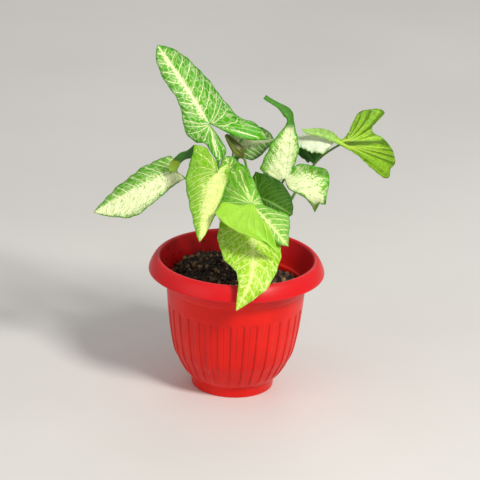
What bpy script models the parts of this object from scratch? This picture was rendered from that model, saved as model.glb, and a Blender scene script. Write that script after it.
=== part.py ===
"""Potted arrowhead plant (syngonium) in a fluted round plastic pot.

Metres, +Z up. The origin is the middle of the pot's flat base and -Y is the front.
The shapes are laid out in millimetres below and turned to metres by MM.
"""
import math

import bmesh
import bpy
import numpy as np
from mathutils import Vector, noise

MM = 0.001
GAP = 0.3

# Pot: a 6 inch plastic pot, 152 mm over its rolled rim.
POT_HEIGHT = 118.0
LIP_RADIUS = 76.0
LIP_HEIGHT = 105.0
MOUTH_RADIUS = 66.6
FLOOR = 3.0
POT_STEPS = 64
FLUTES = 32
FLUTE_DEPTH = 0.9
FLUTE_TOP = 77.0
FLUTE_BOTTOM = 12.0
FLUTE_FADE = 3.0
# The rolled rim, from the mouth over the crest to the lip and back up under it.
RIM_OUTER = (
    (MOUTH_RADIUS, POT_HEIGHT - 1.0), (68.0, POT_HEIGHT), (70.0, 117.4), (72.4, 114.6), (74.6, 110.4),
    (LIP_RADIUS, LIP_HEIGHT + 1.4), (LIP_RADIUS - 0.3, LIP_HEIGHT), (LIP_RADIUS - 2.0, LIP_HEIGHT),
    (72.4, 109.6), (70.4, 113.2), (68.6, 114.6), (67.4, 112.6),
)
# The wall from the rim down to the foot, with a small step where the wall narrows.
WALL_OUTER = (
    (61.6, 93.6), (60.3, 92.6), (59.0, 77.0), (58.7, 73.5), (56.5, 54.0), (54.0, 40.0), (51.8, 32.0),
    (48.8, 26.0), (46.2, 20.5), (42.7, 15.0), (38.6, 10.4), (36.2, 8.7), (35.6, 1.0), (34.8, 0.0),
)
# The inside of the wall from the floor up, with the ledge behind the step.
WALL_INNER = (
    (33.0, FLOOR), (34.2, 10.5), (40.6, 16.4), (46.8, 27.2), (52.0, 41.0), (54.4, 54.5), (57.0, 77.5),
    (58.3, 93.4), (59.6, 94.4),
)
DRAIN_HOLES = 6
DRAIN_RADIUS = 3.2
DRAIN_CIRCLE = 22.0

# Soil, mounded towards the back left and low at the right.
SOIL_STEPS = 36
SOIL_RINGS = (57.4, 50.0, 41.0, 31.0, 21.0, 10.0)
SOIL_LEVEL = 95.0
SOIL_MOUND = 10.0
SOIL_MOUND_AT = (-22.0, 32.0)
SOIL_MOUND_WIDTH = 26.0
SOIL_TILT = 0.045
SOIL_EDGE_DROP = 3.4
SOIL_LUMP = 1.6
SOIL_LUMP_SIZE = 11.0

# Shoots: a short stem for each, standing in a hole in the soil, with its petioles.
STEM_BOTTOM = 66.0
STEM_TOP = 113.0
STEM_RADIUS = 4.4
STEM_TOP_RADIUS = 3.0
PETIOLE_ROOT = 100.0
PETIOLE_RADIUS = 1.35
PETIOLE_TIP_RADIUS = 1.0
PETIOLE_STEPS = 3
SHOOTS = {
    "shoot_left": (4.0, 4.0),
    "shoot_front": (10.0, -9.0),
    "shoot_right": (21.0, 3.0),
    "shoot_back": (12.0, 16.0),
}

# Leaf blades. Each one is drawn flat about its junction, where the petiole joins, and then bent.
BLADE = 0.8
# Stations are shares of the midrib's length from the junction.
WIDTH_STATIONS = (0.86, 0.60, 0.35, 0.10)
CURLED_STATIONS = (0.84, 0.71, 0.60, 0.35, 0.10)
SPLINE_STEPS = 12
RIB_STEPS = 16
TIP_CROWDING = 0.9
SIDE_PHASE = 0.85
SEAT_LENGTH = 4.0
SEAT_SLOPE = 12.0


def half(widths, tip, outer=(), inner=(), fold=0.0, lobe_fold=0.0, curl=0.0, bends=(),
         stations=WIDTH_STATIONS, blunt=0.0, pace=1.0):
    """One half of a blade: its widths from tip to base along the midrib, and its basal lobe.

    The lobe's outline is given as (distance, angle) about the junction, the angle measured
    outwards from straight back: first its outer side, then its tip, then its inner side.
    blunt is the half width of the leaf's very tip, and a pace over 1 fans the lobe's rows
    out from the junction.
    """
    return dict(widths=widths, outer=outer, tip=tip, inner=inner, fold=fold, lobe_fold=lobe_fold,
                curl=curl, bends=bends, stations=stations, blunt=blunt, pace=pace)


# rib: points of the midrib from the junction to the tip. faces: the way the upper side looks
# at the junction and at the tip. wave: height, count and phase of the waves along the edge.
LEAVES = {
    "leaf_tall": dict(
        rib=((-28, 4, 236), (-49, 10, 266), (-75, 28, 297)),
        faces=((0.1, -0.9, 0.35), (0.1, -0.8, 0.5)), wave=(1.2, 2.5, 0.0), droop=25,
        left=half((9, 13, 13, 21), (35, 20), ((20, 72), (18, 44)), ((14, -5), (28, 0)), 15, 15, -20),
        right=half((10, 17, 20, 22), (57, 42), ((26, 72), (43, 56)), ((30, 33),), 8, 8, -20),
        shoot="shoot_left", stalk=((-9, 10, 150), (-20, 14, 200), (-28, 11, 229)), colour="green"),
    "leaf_left": dict(
        rib=((-54, -4, 194), (-85, -14, 181), (-124, -16, 159)),
        faces=((0.0, -0.75, 0.65), (-0.1, -0.8, 0.6)), wave=(1.0, 2.5, 1.0), droop=10,
        left=half((10, 20, 16, 10), (9, 70), (), ((4, 50),)),
        right=half((5, 12, 16, 18), (16, 83), (), ((7, 60),)),
        shoot="shoot_left", stalk=((-10, 5, 140), (-32, 4, 174), (-48, 3, 187)), colour="pale"),
    "leaf_hanging": dict(
        rib=((-20, -40, 208), (-27, -48, 175), (-32, -54, 150)),
        faces=((-0.2, -0.95, 0.2), (-0.2, -0.9, 0.3)), wave=(0.8, 2.5, 2.0), droop=10,
        left=half((5, 10, 13, 13), (14, 40), (), ((7, 20),), -50, -10),
        right=half((6, 14, 22, 25), (73.5, 31), ((28, 60), (37, 43), (44, 40), (52, 40), (61, 38), (69, 35)),
                   ((8, 12), (18, 35), (28, 31), (40, 25), (51, 32), (59, 31), (67, 28.5)), -5, -5, 0,
                   ((-5, 14, -150, 4),)),
        shoot="shoot_left", stalk=((-10, -6, 146), (-18, -18, 180), (-22, -31, 204)), colour="yellow"),
    "leaf_centre": dict(
        rib=((11, -36, 179), (27, -44, 165), (43, -50, 148)),
        faces=((0.1, -0.75, 0.65), (0.2, -0.75, 0.6)), wave=(0.8, 2.5, 2.0), droop=10,
        left=half((6, 17, 12, 8), (44, 26), ((20, 50), (36, 36)), ((23, -46), (31, -32), (38, -2)), 5, 5,
                  bends=((-15, 8, -24, 14),)),
        right=half((5, 8, 9, 8), (50, -60), ((28, 44), (36, 20), (41, -30)), ((26, -56),),
                   bends=((-40, -3, 158, 2.5),)),
        shoot="shoot_front", stalk=((8, -12, 140), (6, -17, 164), (9, -27, 174)), colour="yellow"),
    "leaf_front": dict(
        rib=((11, -34, 157), (13, -52, 146), (13, -76, 129), (1, -86, 102)),
        faces=((0.0, -0.7, 0.7), (0.0, -0.9, 0.4)), wave=(1.0, 2.5, 2.0), droop=10,
        left=half((7, 17.5, 23.5, 23), (22, 62), (), ((11, 27),), -5, -5),
        right=half((5, 13.5, 25, 29), (29, 60), (), ((13, 25),), -5, -5),
        shoot="shoot_front", stalk=((11, -14, 130), (11, -24, 147)), colour="yellow"),
    "leaf_shaded": dict(
        rib=((15, -14, 179), (30, -18, 174), (46, -16, 164)),
        faces=((0.1, -0.9, 0.2), (0.1, -0.9, 0.2)), wave=(0.6, 2.0, 2.0), droop=10,
        left=half((8, 15, 19, 20.5), (21, 62), (), ((12, 40),)),
        right=half((8, 13, 15, 12), (10, 55), (), ((5, 30),)),
        shoot="shoot_right", stalk=((19, 1, 140), (18, -1, 160), (16, -5, 174)), colour="dark"),
    "leaf_right": dict(
        rib=((38, -6, 192), (40, -2, 222), (39, 0, 248), (18, 4, 262)),
        faces=((-0.15, -0.95, 0.2), (-0.15, -0.9, 0.3)), wave=(0.8, 2.5, 2.0), droop=10,
        left=half((2.4, 4.4, 3.4, 15, 22), (15, 80), ((19, 100),), ((7, 70),), stations=CURLED_STATIONS,
                  blunt=2.0),
        right=half((2.2, 4.2, 3.2, 9, 6), (41, 68), ((15, 150), (21.5, 138), (29, 122), (37, 112), (38, 90)),
                   ((8, 28), (15.5, 49), (23, 56), (31, 53), (38.6, 48), (35, 60)),
                   stations=CURLED_STATIONS, blunt=2.0),
        shoot="shoot_right", stalk=((24, 4, 140), (31, 4, 172), (37, 2, 188)), colour="pale"),
    "leaf_shell": dict(
        rib=((43, 12, 224.5), (51, 12, 227), (60, 12, 228), (70, 10.8, 227.2), (80, 9, 224.5)),
        faces=((0.0, -0.2, 0.95), (0.0, -0.2, 0.95)), wave=(0.6, 2.5, 2.0), droop=10,
        left=half((18, 28, 31, 27), (17, 70), (), ((8, 70),), -85, -72),
        right=half((20, 21, 21, 14), (13, 75), (), ((7, 75),), -25, -25, 20),
        shoot="shoot_right", stalk=((25, 8, 140), (33, 12, 185), (38, 12, 207)), seat="behind",
        colour="white"),
    "leaf_far_right": dict(
        rib=((87.6, 4, 223), (70, 2, 231.5), (50, 0, 236)),
        faces=((0.1, -0.9, 0.4), (0.1, -0.9, 0.4)), wave=(0.0, 2.5, 2.0), droop=0,
        left=half((3, 3.5, 3.5, 3), (38, -27), ((19, 14), (38, 15), (53, 13), (50.5, 3), (50, -6), (45, -16)),
                  bends=((63, 0.4, -20, 5),), pace=3.4),
        right=half((1.5, 4, 4.5, 2.5), (38, 27), ((12, 92), (19.5, 92), (30.5, 88), (40.5, 72), (45.5, 61),
                                                 (37.5, 59), (30, 56), (26.8, 46), (33, 36)), pace=3.4),
        shoot="shoot_right", stalk=((30, 16, 132), (50, 28, 172), (67, 30, 199), (85, 12, 220)),
        colour="yellow"),
    "leaf_behind": dict(
        rib=((-4, 28, 209), (12, 26, 214), (28, 22, 218)),
        faces=((0.1, -0.8, 0.5), (0.1, -0.8, 0.5)), wave=(0.6, 2.5, 2.0), droop=10,
        left=half((8, 13, 14, 12), (13, 60), (), ((6, 40),)),
        right=half((6, 13, 15, 12), (13, 60), (), ((6, 40),)),
        shoot="shoot_back", stalk=((6, 24, 150), (-2, 33, 188), (-3.5, 34, 200)), colour="green"),
    "leaf_small": dict(
        rib=((0, -7.2, 186.7), (-8, -5.6, 199.6), (-13.5, -2.2, 210)),
        faces=((-0.1, -0.8, 0.5), (-0.1, -0.8, 0.5)), wave=(0.4, 2.5, 2.0), droop=10,
        left=half((6, 9, 9, 8), (9, 50), (), ((4, 40),)),
        right=half((6, 9, 9, 8), (9, 50), (), ((4, 40),)),
        shoot="shoot_front", stalk=((6, -6, 140), (3, -2, 165), (1.5, 0, 177)), colour="green"),
}
TIP_ROWS = 10
LOBE_ROWS = 9
BLADE_COLUMNS = 3

# A young leaf still rolled up, on its own petiole.
FURLED_AXIS = ((1.5, 18, 202), (-4.5, 18, 211), (-13.5, 18, 222))
FURLED_RADII = (1.6, 4.6, 5.6, 4.6, 3.4, 1.6)
FURLED_STALK = ((9, 16, 150), (6, 17, 186))

COLOURS = {
    "green": (0.10, 0.36, 0.03),
    "dark": (0.02, 0.13, 0.03),
    "pale": (0.45, 0.62, 0.30),
    "yellow": (0.33, 0.55, 0.05),
    "white": (0.55, 0.66, 0.48),
    "stalk": (0.13, 0.27, 0.05),
    "bud": (0.30, 0.36, 0.08),
    "pot": (0.62, 0.015, 0.012),
    "soil": (0.030, 0.018, 0.010),
}


def clear_scene():
    for obj in list(bpy.data.objects):
        bpy.data.objects.remove(obj, do_unlink=True)


def new_collection(name):
    collection = bpy.data.collections.new(name)
    bpy.context.scene.collection.children.link(collection)
    return collection


def material(name, colour, roughness):
    made = bpy.data.materials.new(name)
    made.use_nodes = True
    shader = made.node_tree.nodes["Principled BSDF"]
    shader.inputs["Base Color"].default_value = (*colour, 1.0)
    shader.inputs["Roughness"].default_value = roughness
    shader.inputs["Metallic"].default_value = 0.0
    return made


def add_object(name, data, collection, location=(0.0, 0.0, 0.0)):
    obj = bpy.data.objects.new(name, data)
    obj.location = location
    collection.objects.link(obj)
    return obj


def evaluated_mesh(obj):
    """The object's shape with its modifiers, as a plain mesh with welded seams."""
    bpy.context.view_layer.update()
    depsgraph = bpy.context.evaluated_depsgraph_get()
    mesh = bpy.data.meshes.new_from_object(obj.evaluated_get(depsgraph))
    bm = bmesh.new()
    bm.from_mesh(mesh)
    bmesh.ops.remove_doubles(bm, verts=bm.verts, dist=1e-6)
    bm.to_mesh(mesh)
    bm.free()
    return mesh


def turned_mesh(profile, steps, collection):
    """A closed profile turned about Z, listed down its outer side from the top."""
    count = len(profile)
    points = [(r * MM, 0.0, z * MM) for r, z in profile]
    edges = [(i, (i + 1) % count) for i in range(count) if profile[i][0] + profile[(i + 1) % count][0] > 0.0]
    mesh = bpy.data.meshes.new("profile")
    mesh.from_pydata(points, edges, [])
    obj = add_object("profile", mesh, collection)
    screw = obj.modifiers.new("Turn", "SCREW")
    screw.steps = steps
    screw.render_steps = steps
    screw.use_merge_vertices = True
    screw.merge_threshold = 0.00001
    turned = evaluated_mesh(obj)
    bpy.data.objects.remove(obj, do_unlink=True)
    return turned


def spline(points, steps):
    """A smooth curve through the points (Catmull-Rom), with steps to each span."""
    p = np.asarray(points, float)
    padded = np.vstack([2 * p[0] - p[1], p, 2 * p[-1] - p[-2]])
    t = np.arange(steps)[:, None] / steps
    curve = []
    for a, b, c, d in zip(padded, padded[1:], padded[2:], padded[3:]):
        curve.append(0.5 * (2 * b + (c - a) * t + (2 * a - 5 * b + 4 * c - d) * t ** 2
                            + (3 * b - a - 3 * c + d) * t ** 3))
    return np.vstack(curve + [p[-1:]])


def lengths(curve):
    return np.concatenate([[0.0], np.cumsum(np.linalg.norm(np.diff(curve, axis=0), axis=1))])


def at_fractions(curve, fractions):
    along = lengths(curve) / lengths(curve)[-1]
    return np.stack([np.interp(fractions, along, column) for column in curve.T], axis=-1)


def about_junction(distance, angle):
    angle = math.radians(angle)
    return (distance * math.sin(angle), -distance * math.cos(angle))


def flat_half(shape, length, tip_rows, lobe_rows, columns):
    """A grid over one flat half blade, from the leaf's tip down to the end of its lobe."""
    edge = [(shape["blunt"], length)]
    edge += [(width, station * length) for width, station in zip(shape["widths"], shape["stations"])]
    edge += [about_junction(*point) for point in shape["outer"]]
    edge.append(about_junction(*shape["tip"]))
    edge = spline(edge, SPLINE_STEPS)
    waist = SPLINE_STEPS * len(shape["stations"])
    inner = [(0.0, 0.0)] + [about_junction(*point) for point in shape["inner"]]
    inner = spline(inner + [about_junction(*shape["tip"])], SPLINE_STEPS)
    down = np.linspace(0.0, 1.0, tip_rows + 1) ** TIP_CROWDING
    out = np.linspace(0.0, 1.0, lobe_rows + 1)[1:]
    midrib = np.stack([np.zeros(tip_rows + 1), length * (1.0 - down)], axis=-1)
    inside = np.vstack([midrib, at_fractions(inner, out ** shape["pace"])])
    outside = np.vstack([at_fractions(edge[:waist + 1], down), at_fractions(edge[waist:], out)])
    across = np.linspace(0.0, 1.0, columns + 1)[None, :, None]
    return inside[:, None] * (1.0 - across) + outside[:, None] * across


def fold_share(station):
    """How much of the blade's own fold applies at a station; the rest is the lobe's."""
    blend = np.clip(4.0 * station + 0.3, 0.0, 1.0)
    return blend * blend * (3.0 - 2.0 * blend)


def fold_half(shape, grid, length):
    """Tilts the half up or down about the midrib and curls it across its width."""
    u, v = grid[..., 0], grid[..., 1]
    blend = fold_share(v / length)
    fold = np.radians(shape["lobe_fold"] * (1.0 - blend) + shape["fold"] * blend)
    turn = math.radians(shape["curl"]) / max(shape["widths"])
    if abs(turn) < 1e-6:
        return np.stack([u * np.cos(fold), v, u * np.sin(fold)], axis=-1)
    end = fold + turn * u
    return np.stack([(np.sin(end) - np.sin(fold)) / turn, v, (np.cos(fold) - np.cos(end)) / turn], axis=-1)


def bend_over(points, angle, distance, turn, radius):
    """Rolls what lies past a line, at the distance and angle from the junction, out of the plane."""
    back = np.array([math.sin(math.radians(angle)), -math.cos(math.radians(angle)), 0.0])
    up = np.array([0.0, 0.0, 1.0])
    past = points @ back - distance
    lift = points[..., 2]
    rest = points - (past + distance)[..., None] * back - lift[..., None] * up
    turn = math.radians(turn)
    sign = math.copysign(1.0, turn)
    arc = np.clip(past / radius, 0.0, abs(turn))
    beyond = np.maximum(past - radius * abs(turn), 0.0)
    along = np.where(past < 0.0, past, radius * np.sin(arc) + beyond * math.cos(turn))
    along = distance + along - sign * lift * np.sin(arc)
    height = sign * (radius * (1.0 - np.cos(arc)) + beyond * math.sin(abs(turn))) + lift * np.cos(arc)
    return rest + along[..., None] * back + height[..., None] * up


def rib_frame(leaf, v):
    """The midrib's point, side and upper direction at each distance from the junction."""
    curve = spline(leaf["rib"], RIB_STEPS)
    along = lengths(curve)
    length = along[-1]
    slopes = np.gradient(curve, axis=0)
    clipped = np.clip(v, 0.0, length)
    place = np.stack([np.interp(clipped, along, c) for c in curve.T], axis=-1)
    tangent = np.stack([np.interp(clipped, along, c) for c in slopes.T], axis=-1)
    tangent /= np.linalg.norm(tangent, axis=-1, keepdims=True)
    start, end = (np.array(f) / np.linalg.norm(f) for f in leaf["faces"])
    share = (clipped / length)[..., None]
    upper = start * (1.0 - share) + end * share
    upper = upper - np.sum(upper * tangent, axis=-1, keepdims=True) * tangent
    upper /= np.linalg.norm(upper, axis=-1, keepdims=True)
    side = np.cross(tangent, upper)
    behind = np.maximum(-v, 0.0)
    rate = max(math.radians(leaf["droop"]), 1e-4) / length
    angle = (rate * behind)[..., None]
    place = place - np.sin(angle) / rate * tangent - (1.0 - np.cos(angle)) / rate * upper
    upper = upper * np.cos(angle) - tangent * np.sin(angle)
    return place, side, upper


def bent_half(leaf, key, sign, tip_rows, lobe_rows, columns):
    shape = leaf[key]
    length = lengths(spline(leaf["rib"], RIB_STEPS))[-1]
    grid = flat_half(shape, length, tip_rows, lobe_rows, columns)
    points = fold_half(shape, grid, length)
    height, count, phase = leaf["wave"]
    out = np.abs(grid[..., 0]) / max(shape["widths"])
    waves = np.sin(2.0 * math.pi * count * grid[..., 1] / length + phase + SIDE_PHASE * (1.0 + sign))
    points[..., 2] += height * waves * out ** 1.5
    for bend in shape["bends"]:
        points = bend_over(points, *bend)
    place, side, upper = rib_frame(leaf, points[..., 1])
    return place + sign * points[..., :1] * side + points[..., 2:] * upper


def blade_mesh(name, leaf):
    """The blade as one sheet of triangles about its junction, upper side outwards."""
    junction = np.array(leaf["rib"][0], float)
    bm = bmesh.new()
    for key, sign in (("left", -1.0), ("right", 1.0)):
        grid = bent_half(leaf, key, sign, TIP_ROWS, LOBE_ROWS, BLADE_COLUMNS)
        rows = [[bm.verts.new(Vector((p - junction) * MM)) for p in row] for row in grid]
        for near, far in zip(rows, rows[1:]):
            for a, b, c, d in zip(near, near[1:], far[1:], far):
                bm.faces.new((a, b, c, d) if sign < 0.0 else (d, c, b, a))
    bmesh.ops.remove_doubles(bm, verts=bm.verts, dist=0.02 * MM)
    bmesh.ops.dissolve_degenerate(bm, edges=bm.edges, dist=0.02 * MM)
    bmesh.ops.triangulate(bm, faces=bm.faces)
    mesh = bpy.data.meshes.new(name)
    bm.to_mesh(mesh)
    bm.free()
    return mesh


def make_leaf(name, leaf, collection):
    junction = Vector(leaf["rib"][0]) * MM
    obj = add_object(name, blade_mesh(name, leaf), collection, junction)
    thicken = obj.modifiers.new("Thickness", "SOLIDIFY")
    thicken.thickness = BLADE * MM
    thicken.offset = 0.0
    obj.data.materials.append(material(name, COLOURS[leaf["colour"]], 0.45))


def tube(name, points, radii, collection):
    """A round stalk through the points, as a closed mesh."""
    curve = bpy.data.curves.new(name, "CURVE")
    curve.dimensions = "3D"
    curve.bevel_depth = MM
    curve.bevel_resolution = 2
    curve.use_fill_caps = True
    line = curve.splines.new("POLY")
    line.points.add(len(points) - 1)
    for slot, point, radius in zip(line.points, points, radii):
        slot.co = (*(Vector(point) * MM), 1.0)
        slot.radius = radius
    obj = add_object(name, curve, collection)
    mesh = evaluated_mesh(obj)
    bpy.data.objects.remove(obj, do_unlink=True)
    return add_object(name, mesh, collection)


def seat(leaf):
    """The petiole's last two points, ending just clear of the blade at the junction."""
    place, side, upper = rib_frame(leaf, np.array([0.0]))
    if leaf.get("seat") == "behind":
        tangent = np.cross(upper[0], side[0])
        return place[0] - SEAT_LENGTH * tangent, place[0] - (BLADE + GAP) * tangent
    share = fold_share(0.0)
    slope = min(share * leaf[key]["fold"] + (1.0 - share) * leaf[key]["lobe_fold"]
                for key in ("left", "right"))
    rise = PETIOLE_TIP_RADIUS * math.tan(math.radians(max(-slope, 0.0) + SEAT_SLOPE))
    clear = 0.5 * BLADE + 1.3 * GAP + rise
    return place[0] - SEAT_LENGTH * upper[0], place[0] - clear * upper[0]


def make_stem(name, place, collection):
    bpy.ops.mesh.primitive_cone_add(
        vertices=12, radius1=STEM_RADIUS * MM, radius2=STEM_TOP_RADIUS * MM,
        depth=(STEM_TOP - STEM_BOTTOM) * MM,
        location=(place[0] * MM, place[1] * MM, 0.5 * (STEM_TOP + STEM_BOTTOM) * MM))
    stem = bpy.context.object
    stem.name = name
    stem.data.name = name
    for owner in list(stem.users_collection):
        owner.objects.unlink(stem)
    collection.objects.link(stem)
    return stem


def petiole(name, place, stalk, end, collection):
    route = spline([(place[0], place[1], PETIOLE_ROOT), *stalk, *end], PETIOLE_STEPS)
    radii = np.linspace(PETIOLE_RADIUS, PETIOLE_TIP_RADIUS, len(route))
    return tube(name, route, radii, collection)


def make_shoot(name, place, collection):
    """A stem with the petioles of its leaves, joined in one solid."""
    stem = make_stem(name, place, collection)
    joined = new_collection("Petioles")
    for leaf_name, leaf in LEAVES.items():
        if leaf["shoot"] == name:
            petiole("petiole_" + leaf_name, place, leaf["stalk"], seat(leaf), joined)
    if name == "shoot_back":
        end = np.array(FURLED_AXIS[0]) - 2.0 * GAP * furled_direction()
        petiole("petiole_furled", place, FURLED_STALK, (end - SEAT_LENGTH * furled_direction(), end), joined)
    union = stem.modifiers.new("Join", "BOOLEAN")
    union.operation = "UNION"
    union.operand_type = "COLLECTION"
    union.collection = joined
    union.solver = "MANIFOLD"
    mesh = evaluated_mesh(stem)
    stem.modifiers.clear()
    stem.data = mesh
    for obj in list(joined.objects):
        bpy.data.objects.remove(obj, do_unlink=True)
    bpy.data.collections.remove(joined)
    stem.data.materials.clear()
    stem.data.materials.append(material(name, COLOURS["stalk"], 0.5))


def furled_direction():
    axis = np.array(FURLED_AXIS[1], float) - np.array(FURLED_AXIS[0], float)
    return axis / np.linalg.norm(axis)


def make_furled_leaf(collection):
    route = spline(FURLED_AXIS, 4)
    radii = np.interp(np.linspace(0, 1, len(route)), np.linspace(0, 1, len(FURLED_RADII)), FURLED_RADII)
    obj = tube("leaf_furled", route, radii, collection)
    obj.data.materials.append(material("leaf_furled", COLOURS["bud"], 0.55))


def soil_height(x, y):
    """Height of the soil's surface: a mound, a slope down to the right, and lumps."""
    dx, dy = x - SOIL_MOUND_AT[0], y - SOIL_MOUND_AT[1]
    mound = SOIL_MOUND * math.exp(-(dx * dx + dy * dy) / (2.0 * SOIL_MOUND_WIDTH ** 2))
    lumps = SOIL_LUMP * noise.noise(Vector((x, y, 0.0)) / SOIL_LUMP_SIZE)
    edge = SOIL_EDGE_DROP * (math.hypot(x, y) / SOIL_RINGS[0]) ** 6
    return SOIL_LEVEL + mound - SOIL_TILT * x + lumps - edge


def make_soil(collection, cutters):
    flat = math.cos(math.pi / POT_STEPS)
    wall = [(r * flat - GAP, z + GAP) for r, z in WALL_INNER if z < SOIL_LEVEL - 10.0]
    top = [(r, SOIL_LEVEL) for r in reversed(SOIL_RINGS)]
    profile = [(0.0, SOIL_LEVEL), *top, *reversed(wall), (0.0, FLOOR + GAP)]
    mesh = turned_mesh(profile, SOIL_STEPS, collection)
    for vert in mesh.vertices:
        if abs(vert.co.z - SOIL_LEVEL * MM) < 0.1 * MM:
            vert.co.z = soil_height(vert.co.x / MM, vert.co.y / MM) * MM
    obj = add_object("soil", mesh, collection)
    obj.data.materials.append(material("soil", COLOURS["soil"], 0.95))
    for name, place in SHOOTS.items():
        cut_hole(obj, "hole_" + name, place, STEM_RADIUS + GAP, STEM_BOTTOM - GAP, SOIL_LEVEL + 20.0, 12,
                 cutters)


def cut_hole(target, name, place, radius, low, high, sides, cutters):
    bpy.ops.mesh.primitive_cylinder_add(
        vertices=sides, radius=radius * MM, depth=(high - low) * MM,
        location=(place[0] * MM, place[1] * MM, 0.5 * (low + high) * MM))
    cutter = bpy.context.object
    cutter.name = name
    for owner in list(cutter.users_collection):
        owner.objects.unlink(cutter)
    cutters.objects.link(cutter)
    cutter.display_type = "WIRE"
    cutter.hide_render = True
    cut = target.modifiers.new(name, "BOOLEAN")
    cut.operation = "DIFFERENCE"
    cut.solver = "MANIFOLD"
    cut.object = cutter


def flute_depth(angle, height):
    """Depth of the upright grooves, which alternate with ridges around the wall."""
    column = round(angle / (2.0 * math.pi) * POT_STEPS) % (POT_STEPS // FLUTES)
    if column == 0 or not FLUTE_BOTTOM < height < FLUTE_TOP:
        return 0.0
    return FLUTE_DEPTH * min(1.0, (FLUTE_TOP - height) / FLUTE_FADE, (height - FLUTE_BOTTOM) / FLUTE_FADE)


def make_pot(collection, cutters):
    profile = [*RIM_OUTER, *WALL_OUTER, (0.0, 0.0), (0.0, FLOOR), *WALL_INNER]
    mesh = turned_mesh(profile, POT_STEPS, collection)
    outer = {round(z, 3): r for r, z in WALL_OUTER}
    for vert in mesh.vertices:
        radius = math.hypot(vert.co.x, vert.co.y) / MM
        height = vert.co.z / MM
        wall = outer.get(round(height, 3))
        if wall is None or abs(radius - wall) > 0.01:
            continue
        shrink = 1.0 - flute_depth(math.atan2(vert.co.y, vert.co.x), height) / radius
        vert.co.x *= shrink
        vert.co.y *= shrink
    obj = add_object("pot", mesh, collection)
    obj.data.materials.append(material("pot", COLOURS["pot"], 0.35))
    for i in range(DRAIN_HOLES):
        angle = 2.0 * math.pi * i / DRAIN_HOLES
        place = (DRAIN_CIRCLE * math.cos(angle), DRAIN_CIRCLE * math.sin(angle))
        cut_hole(obj, "drain_hole_%d" % (i + 1), place, DRAIN_RADIUS, -1.0, FLOOR + 1.0, 10, cutters)


def build():
    clear_scene()
    parts = new_collection("Potted syngonium")
    cutters = new_collection("Cutters")
    make_pot(parts, cutters)
    make_soil(parts, cutters)
    for name, place in SHOOTS.items():
        make_shoot(name, place, parts)
    for name, leaf in LEAVES.items():
        make_leaf(name, leaf, parts)
    make_furled_leaf(parts)


build()
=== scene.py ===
import math

import bmesh
import bpy
import numpy as np
from mathutils import Matrix, Vector, noise


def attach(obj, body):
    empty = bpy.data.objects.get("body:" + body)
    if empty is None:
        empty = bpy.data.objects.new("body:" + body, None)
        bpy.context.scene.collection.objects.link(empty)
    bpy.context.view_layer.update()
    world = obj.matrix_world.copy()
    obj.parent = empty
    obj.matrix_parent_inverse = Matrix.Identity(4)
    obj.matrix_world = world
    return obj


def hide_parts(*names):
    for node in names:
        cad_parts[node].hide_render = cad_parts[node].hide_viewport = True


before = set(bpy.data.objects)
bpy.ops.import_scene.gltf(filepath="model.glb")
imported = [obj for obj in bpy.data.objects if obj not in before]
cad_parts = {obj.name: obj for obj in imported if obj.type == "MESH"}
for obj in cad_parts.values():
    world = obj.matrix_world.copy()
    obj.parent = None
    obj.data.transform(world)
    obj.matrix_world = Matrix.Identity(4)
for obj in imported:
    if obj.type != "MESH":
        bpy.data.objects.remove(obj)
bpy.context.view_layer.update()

# Looks of a potted arrowhead plant, laid over its solids. Metres, +Z up, and -Y is the front.
# Shapes are worked out in millimetres, from the same driving values as the solids, and turned
# to metres by MM.
MM = 0.001

# Camera: the photograph's viewing angle, fitted to the pot's outline. The photograph is 480 pixels
# wide, and the aim is a point on the pot's axis, at its place in the photograph.
PICTURE = 480.0
VIEW_DISTANCE = 2400.0
VIEW_ELEVATION = 20.8
VIEW_ROLL = 2.3
PIXELS_PER_MM = 1.158
AIM_HEIGHT = 117.0
AIM_PIXEL = (237.0, 257.3)
SENSOR = 36.0

# Lights, in metres and watts: place, size, power and colour.
LIGHTS = {
    "key": ((1.05, -1.25, 1.6), 0.55, 42.0, (1.0, 0.97, 0.92)),
    "fill": ((-1.7, -1.3, 1.0), 1.8, 8.0, (1.0, 0.99, 0.97)),
    "back": ((0.3, 2.0, 1.6), 1.4, 6.0, (1.0, 1.0, 1.0)),
}
LIGHT_AIM = (0.0, 0.0, 0.14)
SURROUND = (1.0, 0.985, 0.96, 1.0)
SURROUND_POWER = 0.4
GROUND_SIZE = 14.0
GROUND_PLACE = (0.0, 3.0, -0.00005)

# Pot.
POT_HEIGHT = 118.0
LIP_RADIUS = 76.0
LIP_HEIGHT = 105.0
MOUTH_RADIUS = 66.6
FLOOR = 3.0
FLUTES = 32
POT_STEPS = FLUTES * 14
FLUTE_DEPTH = 0.9
FLUTE_TOP = 77.0
FLUTE_BOTTOM = 12.0
FLUTE_WIDTH = 0.54
FLUTE_EDGE = 0.075
FLUTE_ARCH = 2.6
RIM_OUTER = (
    (MOUTH_RADIUS, POT_HEIGHT - 1.0), (68.0, POT_HEIGHT), (70.0, 117.4), (72.4, 114.6), (74.6, 110.4),
    (LIP_RADIUS, LIP_HEIGHT + 1.4), (LIP_RADIUS - 0.3, LIP_HEIGHT), (LIP_RADIUS - 2.0, LIP_HEIGHT),
    (72.4, 109.6), (70.4, 113.2), (68.6, 114.6), (67.4, 112.6),
)
STEP_OUTER = ((67.0, 111.4), (61.75, 94.2), (61.5, 93.4), (60.9, 92.8), (60.35, 92.3), (60.2, 91.6))
WALL_OUTER = (
    (60.2, 91.4), (59.0, 77.0), (58.7, 73.5), (56.5, 54.0), (54.0, 40.0), (51.8, 32.0), (48.8, 26.0),
    (46.2, 20.5), (42.7, 15.0), (38.6, 10.4),
)
FOOT_OUTER = ((37.2, 9.2), (36.5, 8.8), (36.15, 8.2), (35.65, 1.2), (35.4, 0.5), (34.8, 0.0))
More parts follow.
